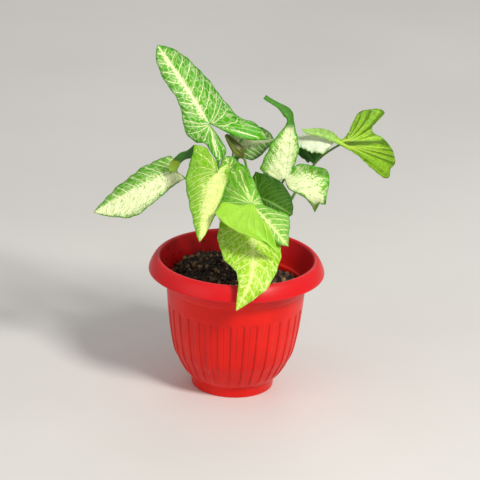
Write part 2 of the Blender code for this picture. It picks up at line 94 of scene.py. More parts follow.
WALL_INNER = (
    (34.2, 10.5), (40.6, 16.4), (46.8, 27.2), (52.0, 41.0), (54.4, 54.5), (57.0, 77.5), (58.3, 93.2),
)
LEDGE_INNER = ((58.6, 93.8), (59.2, 94.2), (59.7, 94.7))
BOTTOM = ((12.0, 0.0), (0.0, 0.0), (0.0, FLOOR), (12.0, FLOOR))
BOTTOM_INNER = (33.0, FLOOR)
PROFILE_STEPS = 5
WALL_STEPS = 8
WALL_ROWS = 74
RIM_ROWS = 14
SHARP_ANGLE = 42.0
DRAIN_HOLES = 6
DRAIN_RADIUS = 3.2
DRAIN_CIRCLE = 22.0

# Soil.
SOIL_STEPS = 260
SOIL_ROWS = 84
SOIL_RADIUS = 57.4
SOIL_LEVEL = 95.0
SOIL_MOUND = 10.0
SOIL_MOUND_AT = (-22.0, 32.0)
SOIL_MOUND_WIDTH = 26.0
SOIL_TILT = 0.045
SOIL_EDGE_DROP = 3.4
SOIL_GAP = (0.4, 0.3)
SOIL_LUMP = 1.6
SOIL_LUMP_SIZE = 11.0
SOIL_GRAINS = ((3.6, 1.5), (1.5, 0.7))
CRUMBS = 1500
CHIPS = 130
CRUMB_SIZE = 0.55
CRUMB_SPREAD = 1.9
WALL_SPECKS = 46
SPECK_REACH = 16.0
SPECK_SIZES = (0.35, 0.9)
SPECK_ARC = (0.25, 0.95)
CRUMB_SEED = 5
CHIP_PLACES = (-1.0, -0.4, 0.5, 1.0)
CHIP_WIDTHS = (0.35, 1.0, 0.8, 0.2)

# Shoots.
STEM_BOTTOM = 80.0
STEM_TOP = 113.0
STEM_RADIUS = 4.4
STEM_TOP_RADIUS = 3.0
STEM_RINGS = 40
STEM_SIDES = 24
SHEATH_SPACING = 7.0
SHEATH_DEPTH = 0.35
PETIOLE_ROOT = 97.0
PETIOLE_RADII = ((0.0, 2.3), (0.25, 1.8), (0.5, 1.3), (0.9, 0.95), (0.96, 1.15), (1.0, 1.0))
PETIOLE_STEPS = 14
PETIOLE_SEAT = 4.0
# A direction that no stalk runs along, from which the rings around one are laid out.
SIDEWAYS = (0.0, 1.0, 0.3)
SHOOTS = {
    "shoot_left": (4.0, 4.0),
    "shoot_front": (10.0, -9.0),
    "shoot_right": (21.0, 3.0),
    "shoot_back": (12.0, 16.0),
}

# Leaf blades. Each one is drawn flat about its junction, where the petiole joins, and then bent.
# Stations are shares of the midrib's length from the junction.
WIDTH_STATIONS = (0.86, 0.60, 0.35, 0.10)
CURLED_STATIONS = (0.84, 0.71, 0.60, 0.35, 0.10)
SPLINE_STEPS = 12
RIB_STEPS = 16
TIP_CROWDING = 0.9
SIDE_PHASE = 0.85


def half(widths, tip, outer=(), inner=(), fold=0.0, lobe_fold=0.0, curl=0.0, bends=(),
         stations=WIDTH_STATIONS, blunt=0.0, pace=1.0):
    """One half of a blade: its widths from tip to base along the midrib, and its basal lobe.

    The lobe's outline is given as (distance, angle) about the junction, the angle measured
    outwards from straight back: first its outer side, then its tip, then its inner side.
    fold, lobe_fold and curl are degrees: how far the blade and its lobe tilt about the midrib,
    and how far the half curls across its width. bends are the lines past which it rolls over,
    as bend_over has them. blunt is the half width of the leaf's very tip, and a pace over 1
    fans the lobe's rows out from the junction.
    """
    return dict(widths=widths, outer=outer, tip=tip, inner=inner, fold=fold, lobe_fold=lobe_fold,
                curl=curl, bends=bends, stations=stations, blunt=blunt, pace=pace)


# rib: points of the midrib from the junction to the tip. faces: the way the upper side looks
# at the junction and at the tip. wave: height, count and phase of the waves along the edge.
# droop: degrees that the lobes bend back over one length of the midrib. stalk: points of the
# petiole below its end, which meets the blade from below, or from behind where seat says so.
LEAVES = {
    "leaf_tall": dict(
        rib=((-28, 4, 236), (-49, 10, 266), (-75, 28, 297)),
        faces=((0.1, -0.9, 0.35), (0.1, -0.8, 0.5)), wave=(1.2, 2.5, 0.0), droop=25,
        left=half((9, 13, 13, 21), (35, 20), ((20, 72), (18, 44)), ((14, -5), (28, 0)), 15, 15, -20),
        right=half((10, 17, 20, 22), (57, 42), ((26, 72), (43, 56)), ((30, 33),), 8, 8, -20),
        shoot="shoot_left", stalk=((-9, 10, 150), (-20, 14, 200), (-28, 11, 229))),
    "leaf_left": dict(
        rib=((-54, -4, 194), (-85, -14, 181), (-124, -16, 159)),
        faces=((0.0, -0.75, 0.65), (-0.1, -0.8, 0.6)), wave=(1.0, 2.5, 1.0), droop=10,
        left=half((10, 20, 16, 10), (9, 70), (), ((4, 50),)),
        right=half((5, 12, 16, 18), (16, 83), (), ((7, 60),)),
        shoot="shoot_left", stalk=((-10, 5, 140), (-32, 4, 174), (-48, 3, 187))),
    "leaf_hanging": dict(
        rib=((-20, -40, 208), (-27, -48, 175), (-32, -54, 150)),
        faces=((-0.2, -0.95, 0.2), (-0.2, -0.9, 0.3)), wave=(0.8, 2.5, 2.0), droop=10,
        left=half((5, 10, 13, 13), (14, 40), (), ((7, 20),), -50, -10),
        right=half((6, 14, 22, 25), (73.5, 31), ((28, 60), (37, 43), (44, 40), (52, 40), (61, 38), (69, 35)),
                   ((8, 12), (18, 35), (28, 31), (40, 25), (51, 32), (59, 31), (67, 28.5)), -5, -5, 0,
                   ((-5, 14, -150, 4),)),
        shoot="shoot_left", stalk=((-10, -6, 146), (-18, -18, 180), (-22, -31, 204))),
    "leaf_centre": dict(
        rib=((11, -36, 179), (27, -44, 165), (43, -50, 148)),
        faces=((0.1, -0.75, 0.65), (0.2, -0.75, 0.6)), wave=(0.8, 2.5, 2.0), droop=10,
        left=half((6, 17, 12, 8), (44, 26), ((20, 50), (36, 36)), ((23, -46), (31, -32), (38, -2)), 5, 5,
                  bends=((-15, 8, -24, 14),)),
        right=half((5, 8, 9, 8), (50, -60), ((28, 44), (36, 20), (41, -30)), ((26, -56),),
                   bends=((-40, -3, 158, 2.5),)),
        shoot="shoot_front", stalk=((8, -12, 140), (6, -17, 164), (9, -27, 174))),
    "leaf_front": dict(
        rib=((11, -34, 157), (13, -52, 146), (13, -76, 129), (1, -86, 102)),
        faces=((0.0, -0.7, 0.7), (0.0, -0.9, 0.4)), wave=(1.0, 2.5, 2.0), droop=10,
        left=half((7, 17.5, 23.5, 23), (22, 62), (), ((11, 27),), -5, -5),
        right=half((5, 13.5, 25, 29), (29, 60), (), ((13, 25),), -5, -5),
        shoot="shoot_front", stalk=((11, -14, 130), (11, -24, 147))),
    "leaf_shaded": dict(
        rib=((15, -14, 179), (30, -18, 174), (46, -16, 164)),
        faces=((0.1, -0.9, 0.2), (0.1, -0.9, 0.2)), wave=(0.6, 2.0, 2.0), droop=10,
        left=half((8, 15, 19, 20.5), (21, 62), (), ((12, 40),)),
        right=half((8, 13, 15, 12), (10, 55), (), ((5, 30),)),
        shoot="shoot_right", stalk=((19, 1, 140), (18, -1, 160), (16, -5, 174))),
    "leaf_right": dict(
        rib=((38, -6, 192), (40, -2, 222), (39, 0, 248), (18, 4, 262)),
        faces=((-0.15, -0.95, 0.2), (-0.15, -0.9, 0.3)), wave=(0.8, 2.5, 2.0), droop=10,
        left=half((2.4, 4.4, 3.4, 15, 22), (15, 80), ((19, 100),), ((7, 70),), stations=CURLED_STATIONS,
                  blunt=2.0),
        right=half((2.2, 4.2, 3.2, 9, 6), (41, 68), ((15, 150), (21.5, 138), (29, 122), (37, 112), (38, 90)),
                   ((8, 28), (15.5, 49), (23, 56), (31, 53), (38.6, 48), (35, 60)),
                   stations=CURLED_STATIONS, blunt=2.0),
        shoot="shoot_right", stalk=((24, 4, 140), (31, 4, 172), (37, 2, 188))),
    "leaf_shell": dict(
        rib=((43, 12, 224.5), (51, 12, 227), (60, 12, 228), (70, 10.8, 227.2), (80, 9, 224.5)),
        faces=((0.0, -0.2, 0.95), (0.0, -0.2, 0.95)), wave=(0.6, 2.5, 2.0), droop=10,
        left=half((18, 28, 31, 27), (17, 70), (), ((8, 70),), -85, -72),
        right=half((20, 21, 21, 14), (13, 75), (), ((7, 75),), -25, -25, 20),
        shoot="shoot_right", stalk=((25, 8, 140), (33, 12, 185), (38, 12, 207)), seat="behind"),
    "leaf_far_right": dict(
        rib=((87.6, 4, 223), (70, 2, 231.5), (50, 0, 236)),
        faces=((0.1, -0.9, 0.4), (0.1, -0.9, 0.4)), wave=(0.0, 2.5, 2.0), droop=0,
        left=half((3, 3.5, 3.5, 3), (38, -27), ((19, 14), (38, 15), (53, 13), (50.5, 3), (50, -6), (45, -16)),
                  bends=((63, 0.4, -20, 5),), pace=3.4),
        right=half((1.5, 4, 4.5, 2.5), (38, 27), ((12, 92), (19.5, 92), (30.5, 88), (40.5, 72), (45.5, 61),
                                                 (37.5, 59), (30, 56), (26.8, 46), (33, 36)), pace=3.4),
        shoot="shoot_right", stalk=((30, 16, 132), (50, 28, 172), (67, 30, 199), (85, 12, 220))),
    "leaf_behind": dict(
        rib=((-4, 28, 209), (12, 26, 214), (28, 22, 218)),
        faces=((0.1, -0.8, 0.5), (0.1, -0.8, 0.5)), wave=(0.6, 2.5, 2.0), droop=10,
        left=half((8, 13, 14, 12), (13, 60), (), ((6, 40),)),
        right=half((6, 13, 15, 12), (13, 60), (), ((6, 40),)),
        shoot="shoot_back", stalk=((6, 24, 150), (-2, 33, 188), (-3.5, 34, 200))),
    "leaf_small": dict(
        rib=((0, -7.2, 186.7), (-8, -5.6, 199.6), (-13.5, -2.2, 210)),
        faces=((-0.1, -0.8, 0.5), (-0.1, -0.8, 0.5)), wave=(0.4, 2.5, 2.0), droop=10,
        left=half((6, 9, 9, 8), (9, 50), (), ((4, 40),)),
        right=half((6, 9, 9, 8), (9, 50), (), ((4, 40),)),
        shoot="shoot_front", stalk=((6, -6, 140), (3, -2, 165), (1.5, 0, 177))),
}

# A young leaf still rolled up, on its own petiole.
FURLED_AXIS = ((1.5, 18, 202), (-4.5, 18, 211), (-13.5, 18, 222))
FURLED_RADII = (1.6, 4.6, 5.6, 4.6, 3.4, 1.6)
FURLED_STALK = ((9, 16, 150), (6, 17, 186))

# How finely the blades are drawn, and their thickness and relief.
TIP_ROWS = 58
LOBE_ROWS = 34
BLADE_COLUMNS = 18
COLUMN_CROWDING = 1.15
BLADE = 0.5
RIB_HEIGHT = 0.5
RIB_WIDTH = 0.7
FLAT_SCALE = 0.01
LATERAL_SLOPE = 0.5
WELD = 0.02
PITCH_RANGE = (0.5, 14.0)
NO_SEAM = 99.0
# Small bays in a blade's outline: their depth, and the strength, rate and start of each wave. Ripples
# in its edge: how far in they reach, and the rate of each wave along the blade and across it.
# Rates are in radians a millimetre.
SCALLOP = 0.3
BAYS = ((1.0, 0.47, 0.0), (0.8, 0.23, 1.0), (0.25, 1.1, 2.0))
RIPPLE_REACH = 5.0
RIPPLES = ((0.9, 0.7), (0.37, -0.5))
# The rolled leaf: turns of its roll, its twist and start in radians, how far out its spiral starts
# and grows, its flat size per radian and in all, its thickness, and how finely it is drawn.
FURLED_TURNS = 1.55
FURLED_TWIST = 1.3
FURLED_START = 2.2
FURLED_SPIRAL = (0.62, 0.35)
FURLED_FLAT = (4.5, 26.0)
FURLED_THICKNESS = 0.35
FURLED_STEPS = 26
FURLED_COLUMNS = 60


def look(green, dark, cream, under, centre=(0.15, 0.15), speckle=(0.3, 0.3), lobe=1.0, vein=0.55, net=0.3,
         veins=7, pleat=0.45, ruffle=0.25, margin=0.5, end=None, painted_sunlit_end=None,
         fold_shade=0.0, fold_shadow_colour=None, joined=False, fan=16.0, curve=0.5):
    """The colours and drawing of one blade, with pairs for its left and right half.

    green, dark, cream: of the upper side. under: of the lower side.
    centre: share of the half width that is cream. speckle: how much cream and green mix. lobe: how
    much of the cream goes on into the lobes. vein: half width of a side vein in mm. net: strength of
    the fine veins. veins: side veins on each side. pleat, ruffle: in mm, the height of the folds
    between veins and of the ripples along the edge. margin: how much darker the edge is. end: a colour
    and the stations between which it fades in. painted_sunlit_end: the same on the lower side, where it
    paints sunlight on the end of a lobe.
    fold_shade, fold_shadow_colour: painted shade: how much of the shaded side of each fold is darkened, and
    the dark colour, which also paints a shadow beside the seam.
    joined: whether the two lobes meet at a seam.
    fan: degrees between the side veins of a lobe. curve: how much the side veins curve towards the tip.
    """
    return dict(green=green, dark=dark, cream=cream, under=under, centre=centre, speckle=speckle, lobe=lobe,
                vein=vein, net=net, veins=veins, pleat=pleat, ruffle=ruffle, margin=margin,
                end=end, painted_sunlit_end=painted_sunlit_end, fold_shade=fold_shade, fold_shadow_colour=fold_shadow_colour, joined=joined, fan=fan, curve=curve)


# Colours are sRGB values from 0 to 255.
LOOKS = {
    "leaf_tall": look(
        (90, 180, 0), (34, 114, 0), (242, 252, 192), (130, 180, 60), (0.17, 0.07), (0.85, 0.35), 0.4,
        vein=0.36, net=0.45, veins=8),
    "leaf_left": look(
        (106, 178, 26), (50, 122, 10), (242, 250, 196), (120, 165, 70), (0.84, 0.24), (0.7, 1.0),
        vein=0.3, veins=9, ruffle=0.45),
    # leaf_hanging: the dark lower side is painted shade, and its lighter end is painted sunlight.
    "leaf_hanging": look(
        (140, 202, 28), (84, 160, 8), (238, 250, 160), (46, 106, 12), (0.85, 0.34), (0.45, 0.8), 0.2,
        vein=0.3, veins=10, painted_sunlit_end=((150, 190, 44), -0.76, -0.84)),
    "leaf_centre": look(
        (116, 190, 34), (64, 142, 12), (228, 246, 160), (158, 212, 54), (0.10, 0.14), (0.55, 0.7), 0.6,
        vein=0.42, net=0.35, veins=8, pleat=0.5),
    "leaf_front": look(
        (168, 218, 34), (124, 184, 18), (236, 250, 150), (150, 195, 70), (0.10, 0.10), (0.6, 0.6),
        vein=0.6, net=0.75, margin=0.1),
    # leaf_shaded: all its colours are darkened with painted shade.
    "leaf_shaded": look(
        (62, 112, 12), (28, 78, 6), (112, 156, 66), (80, 120, 60), (0.02, 0.02), (0.15, 0.15),
        vein=0.17, net=0.2, veins=8),
    "leaf_right": look(
        (126, 196, 22), (56, 144, 4), (242, 252, 196), (120, 175, 70), (0.64, 0.62), (1.0, 1.0),
        vein=0.26, veins=9, pleat=0.6, ruffle=0.5, margin=0.7, end=((54, 140, 6), 0.5, 0.6)),
    # leaf_shell: the dark green of its lower side is painted shade.
    "leaf_shell": look(
        (190, 214, 158), (120, 164, 88), (236, 245, 216), (40, 106, 18), (0.9, 0.9), (0.35, 0.35),
        vein=0.2, veins=14, pleat=0.7, ruffle=0.6),
    # leaf_far_right: painted shade on one side of each fold and a painted shadow beside its seam.
    "leaf_far_right": look(
        (150, 204, 34), (92, 142, 12), (206, 234, 96), (150, 200, 50), (0.02, 0.02), (0.1, 0.1),
        vein=0.3, net=0.1, pleat=1.7, ruffle=0.35, fold_shade=0.95, fold_shadow_colour=(72, 112, 0), joined=True,
        fan=6.5, curve=0.03, end=((160, 206, 104), 0.04, 0.4)),
    "leaf_behind": look(
        (104, 180, 40), (26, 96, 16), (234, 247, 196), (100, 145, 60), (0.26, 0.26), (0.7, 0.7),
        vein=0.5, veins=6),
    "leaf_small": look(
        (100, 182, 26), (44, 124, 12), (228, 248, 160), (110, 165, 50), (0.08, 0.08), (0.5, 0.5),
        vein=0.45, veins=6),
}


def srgb(colour):
    """A linear colour from sRGB values of 0 to 255."""
    return tuple((c / 255.0 / 12.92) if c <= 10 else ((c / 255.0 + 0.055) / 1.055) ** 2.4 for c in colour)


def smoothstep(low, high, x):
    t = np.clip((np.asarray(x, float) - low) / (high - low), 0.0, 1.0)
    return t * t * (3.0 - 2.0 * t)


# Curves and flat outlines, as in the solids.

def spline(points, steps):
    """A smooth curve through the points (Catmull-Rom), with steps to each span."""
    p = np.asarray(points, float)
    padded = np.vstack([2 * p[0] - p[1], p, 2 * p[-1] - p[-2]])
    t = np.arange(steps)[:, None] / steps
    curve = []
    for a, b, c, d in zip(padded, padded[1:], padded[2:], padded[3:]):
        curve.append(0.5 * (2 * b + (c - a) * t + (2 * a - 5 * b + 4 * c - d) * t ** 2
                            + (3 * b - a - 3 * c + d) * t ** 3))
    return np.vstack(curve + [p[-1:]])


def unit(vectors):
    """The vectors at a length of one."""
    return vectors / np.linalg.norm(vectors, axis=-1, keepdims=True)


def lengths(curve):
    return np.concatenate([[0.0], np.cumsum(np.linalg.norm(np.diff(curve, axis=0), axis=1))])


def at_fractions(curve, fractions):
    along = lengths(curve) / lengths(curve)[-1]
    return np.stack([np.interp(fractions, along, column) for column in curve.T], axis=-1)


def about_junction(distance, angle):
    angle = math.radians(angle)
    return (distance * math.sin(angle), -distance * math.cos(angle))


def flat_half(shape, length):
    """A grid over one flat half blade, from the leaf's tip down to the end of its lobe."""
    edge = [(shape["blunt"], length)]
    edge += [(width, station * length) for width, station in zip(shape["widths"], shape["stations"])]
    edge += [about_junction(*point) for point in shape["outer"]]
    edge.append(about_junction(*shape["tip"]))
    edge = spline(edge, SPLINE_STEPS)
    waist = SPLINE_STEPS * len(shape["stations"])
    inner = [(0.0, 0.0)] + [about_junction(*point) for point in shape["inner"]]
    inner = spline(inner + [about_junction(*shape["tip"])], SPLINE_STEPS)
    down = np.linspace(0.0, 1.0, TIP_ROWS + 1) ** TIP_CROWDING
    out = np.linspace(0.0, 1.0, LOBE_ROWS + 1)[1:]
    midrib = np.stack([np.zeros(TIP_ROWS + 1), length * (1.0 - down)], axis=-1)
    inside = np.vstack([midrib, at_fractions(inner, out ** shape["pace"])])
    outside = np.vstack([at_fractions(edge[:waist + 1], down), at_fractions(edge[waist:], out)])
    outside = scalloped(inside, outside)
    across = (np.linspace(0.0, 1.0, BLADE_COLUMNS + 1) ** COLUMN_CROWDING)[None, :, None]
    return inside[:, None] * (1.0 - across) + outside[:, None] * across


def scalloped(inside, outside):
    """Gives the blade's outline small uneven bays."""
    along = lengths(outside)
    bays = sum(strength * np.sin(rate * along + start) for strength, rate, start in BAYS)
    reach = outside - inside
    width = np.linalg.norm(reach, axis=1)
    step = SCALLOP * bays * smoothstep(2.0, 12.0, width) / np.maximum(width, 1e-6)
    return outside + step[:, None] * reach


def fold_share(station):
    """How much of the blade's own fold applies at a station; the rest is the lobe's."""
    blend = np.clip(4.0 * station + 0.3, 0.0, 1.0)
    return blend * blend * (3.0 - 2.0 * blend)


def fold_half(shape, grid, length):
    """Tilts the half up or down about the midrib and curls it across its width."""
    u, v = grid[..., 0], grid[..., 1]
    blend = fold_share(v / length)
    fold = np.radians(shape["lobe_fold"] * (1.0 - blend) + shape["fold"] * blend)
    turn = math.radians(shape["curl"]) / max(shape["widths"])
    if abs(turn) < 1e-6:
        return np.stack([u * np.cos(fold), v, u * np.sin(fold)], axis=-1)
    end = fold + turn * u
    return np.stack([(np.sin(end) - np.sin(fold)) / turn, v, (np.cos(fold) - np.cos(end)) / turn], axis=-1)


def bend_over(points, angle, distance, turn, radius):
    """Rolls what lies past a line, at the distance and angle from the junction, out of the plane."""
    back = np.array([math.sin(math.radians(angle)), -math.cos(math.radians(angle)), 0.0])
    up = np.array([0.0, 0.0, 1.0])
    past = points @ back - distance
    lift = points[..., 2]
    rest = points - (past + distance)[..., None] * back - lift[..., None] * up
    turn = math.radians(turn)
    sign = math.copysign(1.0, turn)
    arc = np.clip(past / radius, 0.0, abs(turn))
    beyond = np.maximum(past - radius * abs(turn), 0.0)
    along = np.where(past < 0.0, past, radius * np.sin(arc) + beyond * math.cos(turn))
    along = distance + along - sign * lift * np.sin(arc)
    height = sign * (radius * (1.0 - np.cos(arc)) + beyond * math.sin(abs(turn))) + lift * np.cos(arc)
    return rest + along[..., None] * back + height[..., None] * up


def rib_frame(leaf, v):
    """The midrib's point, side and upper direction at each distance from the junction."""
    curve = spline(leaf["rib"], RIB_STEPS)
    along = lengths(curve)
    length = along[-1]
    slopes = np.gradient(curve, axis=0)
    clipped = np.clip(v, 0.0, length)
    place = np.stack([np.interp(clipped, along, c) for c in curve.T], axis=-1)
    tangent = unit(np.stack([np.interp(clipped, along, c) for c in slopes.T], axis=-1))
    start, end = unit(np.array(leaf["faces"]))
    share = (clipped / length)[..., None]
    upper = start * (1.0 - share) + end * share
    upper = unit(upper - np.sum(upper * tangent, axis=-1, keepdims=True) * tangent)
    side = np.cross(tangent, upper)
    behind = np.maximum(-v, 0.0)
    rate = max(math.radians(leaf["droop"]), 1e-4) / length
    angle = (rate * behind)[..., None]
    place = place - np.sin(angle) / rate * tangent - (1.0 - np.cos(angle)) / rate * upper
    upper = upper * np.cos(angle) - tangent * np.sin(angle)
    return place, side, upper


# Blades.

def distance_to_segment(grid, end):
    """Distance in the flat blade from the line that runs from the junction to the end point."""
    end = np.asarray(end, float)
    share = np.clip(grid @ end / (end @ end), 0.0, 1.0)
    return np.linalg.norm(grid - share[..., None] * end, axis=-1)


def distance_to_line(grid, line):
    gaps = np.linalg.norm(grid[:, :, None] - line[None, None], axis=-1)
    return gaps.min(axis=-1)


def distances_to_margin(grid, joined):
    """Distance in the flat half blade from its edge, and from the seam where its lobes are joined."""
    outer, inner = distance_to_line(grid, grid[:, -1]), distance_to_line(grid, grid[TIP_ROWS:, 0])
    if joined:
        return outer, inner
    return np.minimum(outer, inner), np.full(outer.shape, NO_SEAM)


def vein_count(grid, shape, length, drawing):
    """A number that passes a whole value at each side vein: up the midrib, and around the lobe."""
    u, v = np.maximum(grid[..., 0], 0.0), grid[..., 1]
    start = v - LATERAL_SLOPE * u - drawing["curve"] * u * u / max(shape["widths"])
    reach = np.hypot(grid[..., 0], v)
    around = np.degrees(np.arctan2(np.maximum(-start, 0.0), grid[..., 0] + 0.3 * reach + 1e-6))
    return np.where(start > 0.0, start * drawing["veins"] / length, -around / drawing["fan"])


def spacing(field, grid):
    """Millimetres between whole values of the field."""
    du, dv = np.gradient(grid[..., 0]), np.gradient(grid[..., 1])
    df = np.gradient(field)
    cross = du[0] * dv[1] - du[1] * dv[0]
    cross = np.where(np.abs(cross) < 1e-4, 1e-4, cross)
    by_u = (df[0] * dv[1] - df[1] * dv[0]) / cross
    by_v = (du[0] * df[1] - du[1] * df[0]) / cross
    return np.clip(1.0 / np.maximum(np.hypot(by_u, by_v), 1e-3), *PITCH_RANGE)


def drawn_half(leaf, key, sign, drawing):
    """One half blade: its bent points, flat points, and what its colours and relief are drawn from."""
    shape = leaf[key]
    length = lengths(spline(leaf["rib"], RIB_STEPS))[-1]
    grid = flat_half(shape, length)
    lobe_end = about_junction(max(0.8 * shape["tip"][0], 1.0), shape["tip"][1])
    rib = np.minimum(distance_to_segment(grid, (0.0, length)), distance_to_segment(grid, lobe_end))
    edge, seam = distances_to_margin(grid, drawing["joined"])
    count = vein_count(grid, shape, length, drawing)
    points = fold_half(shape, grid, length)
    height, waves, phase = leaf["wave"]
    out = np.abs(grid[..., 0]) / max(shape["widths"])
    wave = np.sin(2.0 * math.pi * waves * grid[..., 1] / length + phase + SIDE_PHASE * (1.0 + sign))
    points[..., 2] += height * wave * out ** 1.5
    rim = smoothstep(RIPPLE_REACH, 0.0, edge) * smoothstep(0.0, 6.0, rib) * smoothstep(0.0, 5.0, seam)
    for (along, across), start in zip(RIPPLES, (2.0 * phase, sign)):
        ripple = np.sin(along * grid[..., 1] + across * grid[..., 0] + start)
        points[..., 2] += drawing["ruffle"] * rim * ripple
    for bend in shape["bends"]:
        points = bend_over(points, *bend)
    place, side, upper = rib_frame(leaf, points[..., 1])
    bent = place + sign * points[..., :1] * side + points[..., 2:] * upper
    flat = grid * (sign, 1.0)
    fields = {"rib": rib, "edge": edge, "seam": seam, "vein": count, "pitch": spacing(count, grid),
              "station": grid[..., 1] / length}
    return bent, flat, fields


def weld_halves(halves):
    """Joins the two halves along the midrib: points, flat points, fields, and rows of point numbers."""
    points, flat, rows = [], [], []
    fields = {name: [] for name in halves[0][2]}
    for bent, drawn, values in halves:
        first = sum(len(p) for p in points)
        rows.append(first + np.arange(bent[..., 0].size).reshape(bent.shape[:2]))
        points.append(bent.reshape(-1, 3))
        flat.append(drawn.reshape(-1, 2))
        for name in fields:
            fields[name].append(values[name].ravel())
    points, flat = np.vstack(points), np.vstack(flat)
    fields = {name: np.concatenate(parts) for name, parts in fields.items()}
    left, right = rows
    for side in rows:
        for end in (0, -1):
            if np.ptp(points[side[end]], axis=0).max() < WELD:
                side[end, :] = side[end, 0]
    near = np.linalg.norm(points[left[:, 0]] - points[right[:, 0]], axis=1) < WELD
    for end in (0, -1):
        if near[end] and left[end, 0] == left[end, -1]:
            right[end, :] = left[end, 0]
    right[:, 0] = np.where(near, left[:, 0], right[:, 0])
    return points, flat, fields, rows


def grid_quads(numbers):
    """The corners of each square in a grid of point numbers."""
    return np.stack([numbers[:-1, :-1], numbers[:-1, 1:], numbers[1:, 1:], numbers[1:, :-1]], axis=-1)


def true_faces(quads):
    """The faces without repeated corners, and without those that have shrunk to a line."""
    faces = []
    for quad in quads.reshape(-1, 4).tolist():
        ring = [corner for i, corner in enumerate(quad) if corner != quad[i - 1]]
        if len(ring) > 2:
            faces.append(ring)
    return faces


def sheet_faces(rows):
    """Faces over both halves, upper side outwards."""
    left, right = (true_faces(grid_quads(numbers)) for numbers in rows)
    return left + [face[::-1] for face in right]


def sheet_normals(points, faces):
    mesh = bpy.data.meshes.new("sheet")
    mesh.from_pydata(points.tolist(), [], faces)
    normals = np.empty(len(points) * 3)
    mesh.vertices.foreach_get("normal", normals)
    bpy.data.meshes.remove(mesh)
    return normals.reshape(-1, 3)


def edge_loops(faces):
    """The sheet's open edges, each as its face runs along it."""
    used = {}
    for face in faces:
        for a, b in zip(face, face[1:] + face[:1]):
            used[(a, b)] = used.get((a, b), 0) + 1
    return [pair for pair in used if pair[::-1] not in used]


def pleated(points, fields, faces, height):
    """The sheet's points, with soft folds between its side veins."""
    swell = 0.5 - 0.5 * np.cos(2.0 * math.pi * fields["vein"])
    swell *= smoothstep(0.5, 5.0, fields["rib"]) * smoothstep(0.3, 5.0, fields["edge"] + 2.0)
    swell *= smoothstep(1.5, 5.0, fields["pitch"])
    swell = (swell - 0.4) * smoothstep(0.0, 4.0, fields["seam"])
    return points + (height * swell)[:, None] * sheet_normals(points, faces)


def thickened(points, fields, faces):
    """Points and faces of the sheet as a closed body: its upper side, its ribbed lower side, its edge."""
    normals = sheet_normals(points, faces)
    rib = np.exp(-(fields["rib"] / RIB_WIDTH) ** 2) * smoothstep(0.0, 12.0, fields["edge"])
    half = 0.5 * BLADE * (0.45 + 0.55 * smoothstep(0.0, 1.2, fields["edge"]))
    top = points + (half - 0.15 * rib)[:, None] * normals
    bottom = points - (half + RIB_HEIGHT * rib)[:, None] * normals
    count = len(points)
    under = [[corner + count for corner in reversed(face)] for face in faces]
    rim = [[b, a, a + count, b + count] for a, b in edge_loops(faces)]
    return np.vstack([top, bottom]), faces + under + rim


def make_blade(name, leaf, drawing):
    """The blade as a closed leaf-thin solid, with pleats and ribs."""
    halves = [drawn_half(leaf, "left", -1.0, drawing), drawn_half(leaf, "right", 1.0, drawing)]
    points, flat, fields, rows = weld_halves(halves)
    faces = sheet_faces(rows)
    points = pleated(points, fields, faces, drawing["pleat"])
    mesh = joined_mesh(name, [thickened(points, fields, faces)])
    slots = np.zeros(len(mesh.polygons), dtype=np.int32)
    slots[len(faces):2 * len(faces)] = 1
    mesh.polygons.foreach_set("material_index", slots)
    for field, values in fields.items():
        add_field(mesh, field, np.concatenate([values, values]))
    add_flat_map(mesh, np.vstack([flat, flat]) * FLAT_SCALE)
    blade = add_piece(name + "_blade", used_points_only(mesh))
    blade.data.materials.append(blade_material(name, drawing))
    blade.data.materials.append(underside_material(name, drawing))
    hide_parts(name)


def add_field(mesh, name, values):
    """Gives each point a number that the materials read."""
    layer = mesh.attributes.new(name, "FLOAT", "POINT")
    layer.data.foreach_set("value", values.astype(np.float32))


def add_flat_map(mesh, flat):
    corners = np.empty(len(mesh.loops), dtype=np.int32)
    mesh.loops.foreach_get("vertex_index", corners)
    layer = mesh.uv_layers.new(name="Flat")
    layer.data.foreach_set("uv", flat[corners].astype(np.float32).ravel())


def used_points_only(mesh):
    """Drops the loose points that the welding leaves."""
    bm = bmesh.new()
    bm.from_mesh(mesh)
    bmesh.ops.delete(bm, geom=[v for v in bm.verts if not v.link_faces], context="VERTS")
    bm.to_mesh(mesh)
    bm.free()
    return mesh


def add_piece(name, mesh):
    """An object that is part of the plant and rides on its one body."""
    piece = bpy.data.objects.new(name, mesh)
    bpy.context.scene.collection.objects.link(piece)
    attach(piece, "root")
    return piece


# Stalks.

def sweep(points, radii, sides=14):
    """Points and faces of a closed round bar along the points."""
    p = np.asarray(points, float)
    tangents = unit(np.gradient(p, axis=0))
    across = np.cross(tangents[0], SIDEWAYS)
    rings = []
    for point, tangent, radius in zip(p, tangents, radii):
        across = unit(across - (across @ tangent) * tangent)
        other = np.cross(tangent, across)
        turn = np.linspace(0.0, 2.0 * math.pi, sides, endpoint=False)[:, None]
        rings.append(point + radius * (np.cos(turn) * across + np.sin(turn) * other))
    verts = np.vstack([p[:1], *rings, p[-1:]])
    faces = []
    for ring in range(len(p) - 1):
        for i in range(sides):
            j = (i + 1) % sides
            a, b = 1 + ring * sides, 1 + (ring + 1) * sides
            faces.append([a + i, a + j, b + j, b + i])
    last = len(verts) - 1
    for i in range(sides):
        j = (i + 1) % sides
        faces.append([0, 1 + j, 1 + i])
        faces.append([last, last - sides + i, last - sides + j])
    return verts, faces


def joined_mesh(name, shapes):
    """One mesh out of several lists of points and faces."""
    verts, faces, first = [], [], 0
    for points, loops in shapes:
        verts.append(points)
        faces += [[corner + first for corner in loop] for loop in loops]
        first += len(points)
    mesh = bpy.data.meshes.new(name)
    mesh.from_pydata((np.vstack(verts) * MM).tolist(), [], faces)
    mesh.shade_smooth()
    return mesh


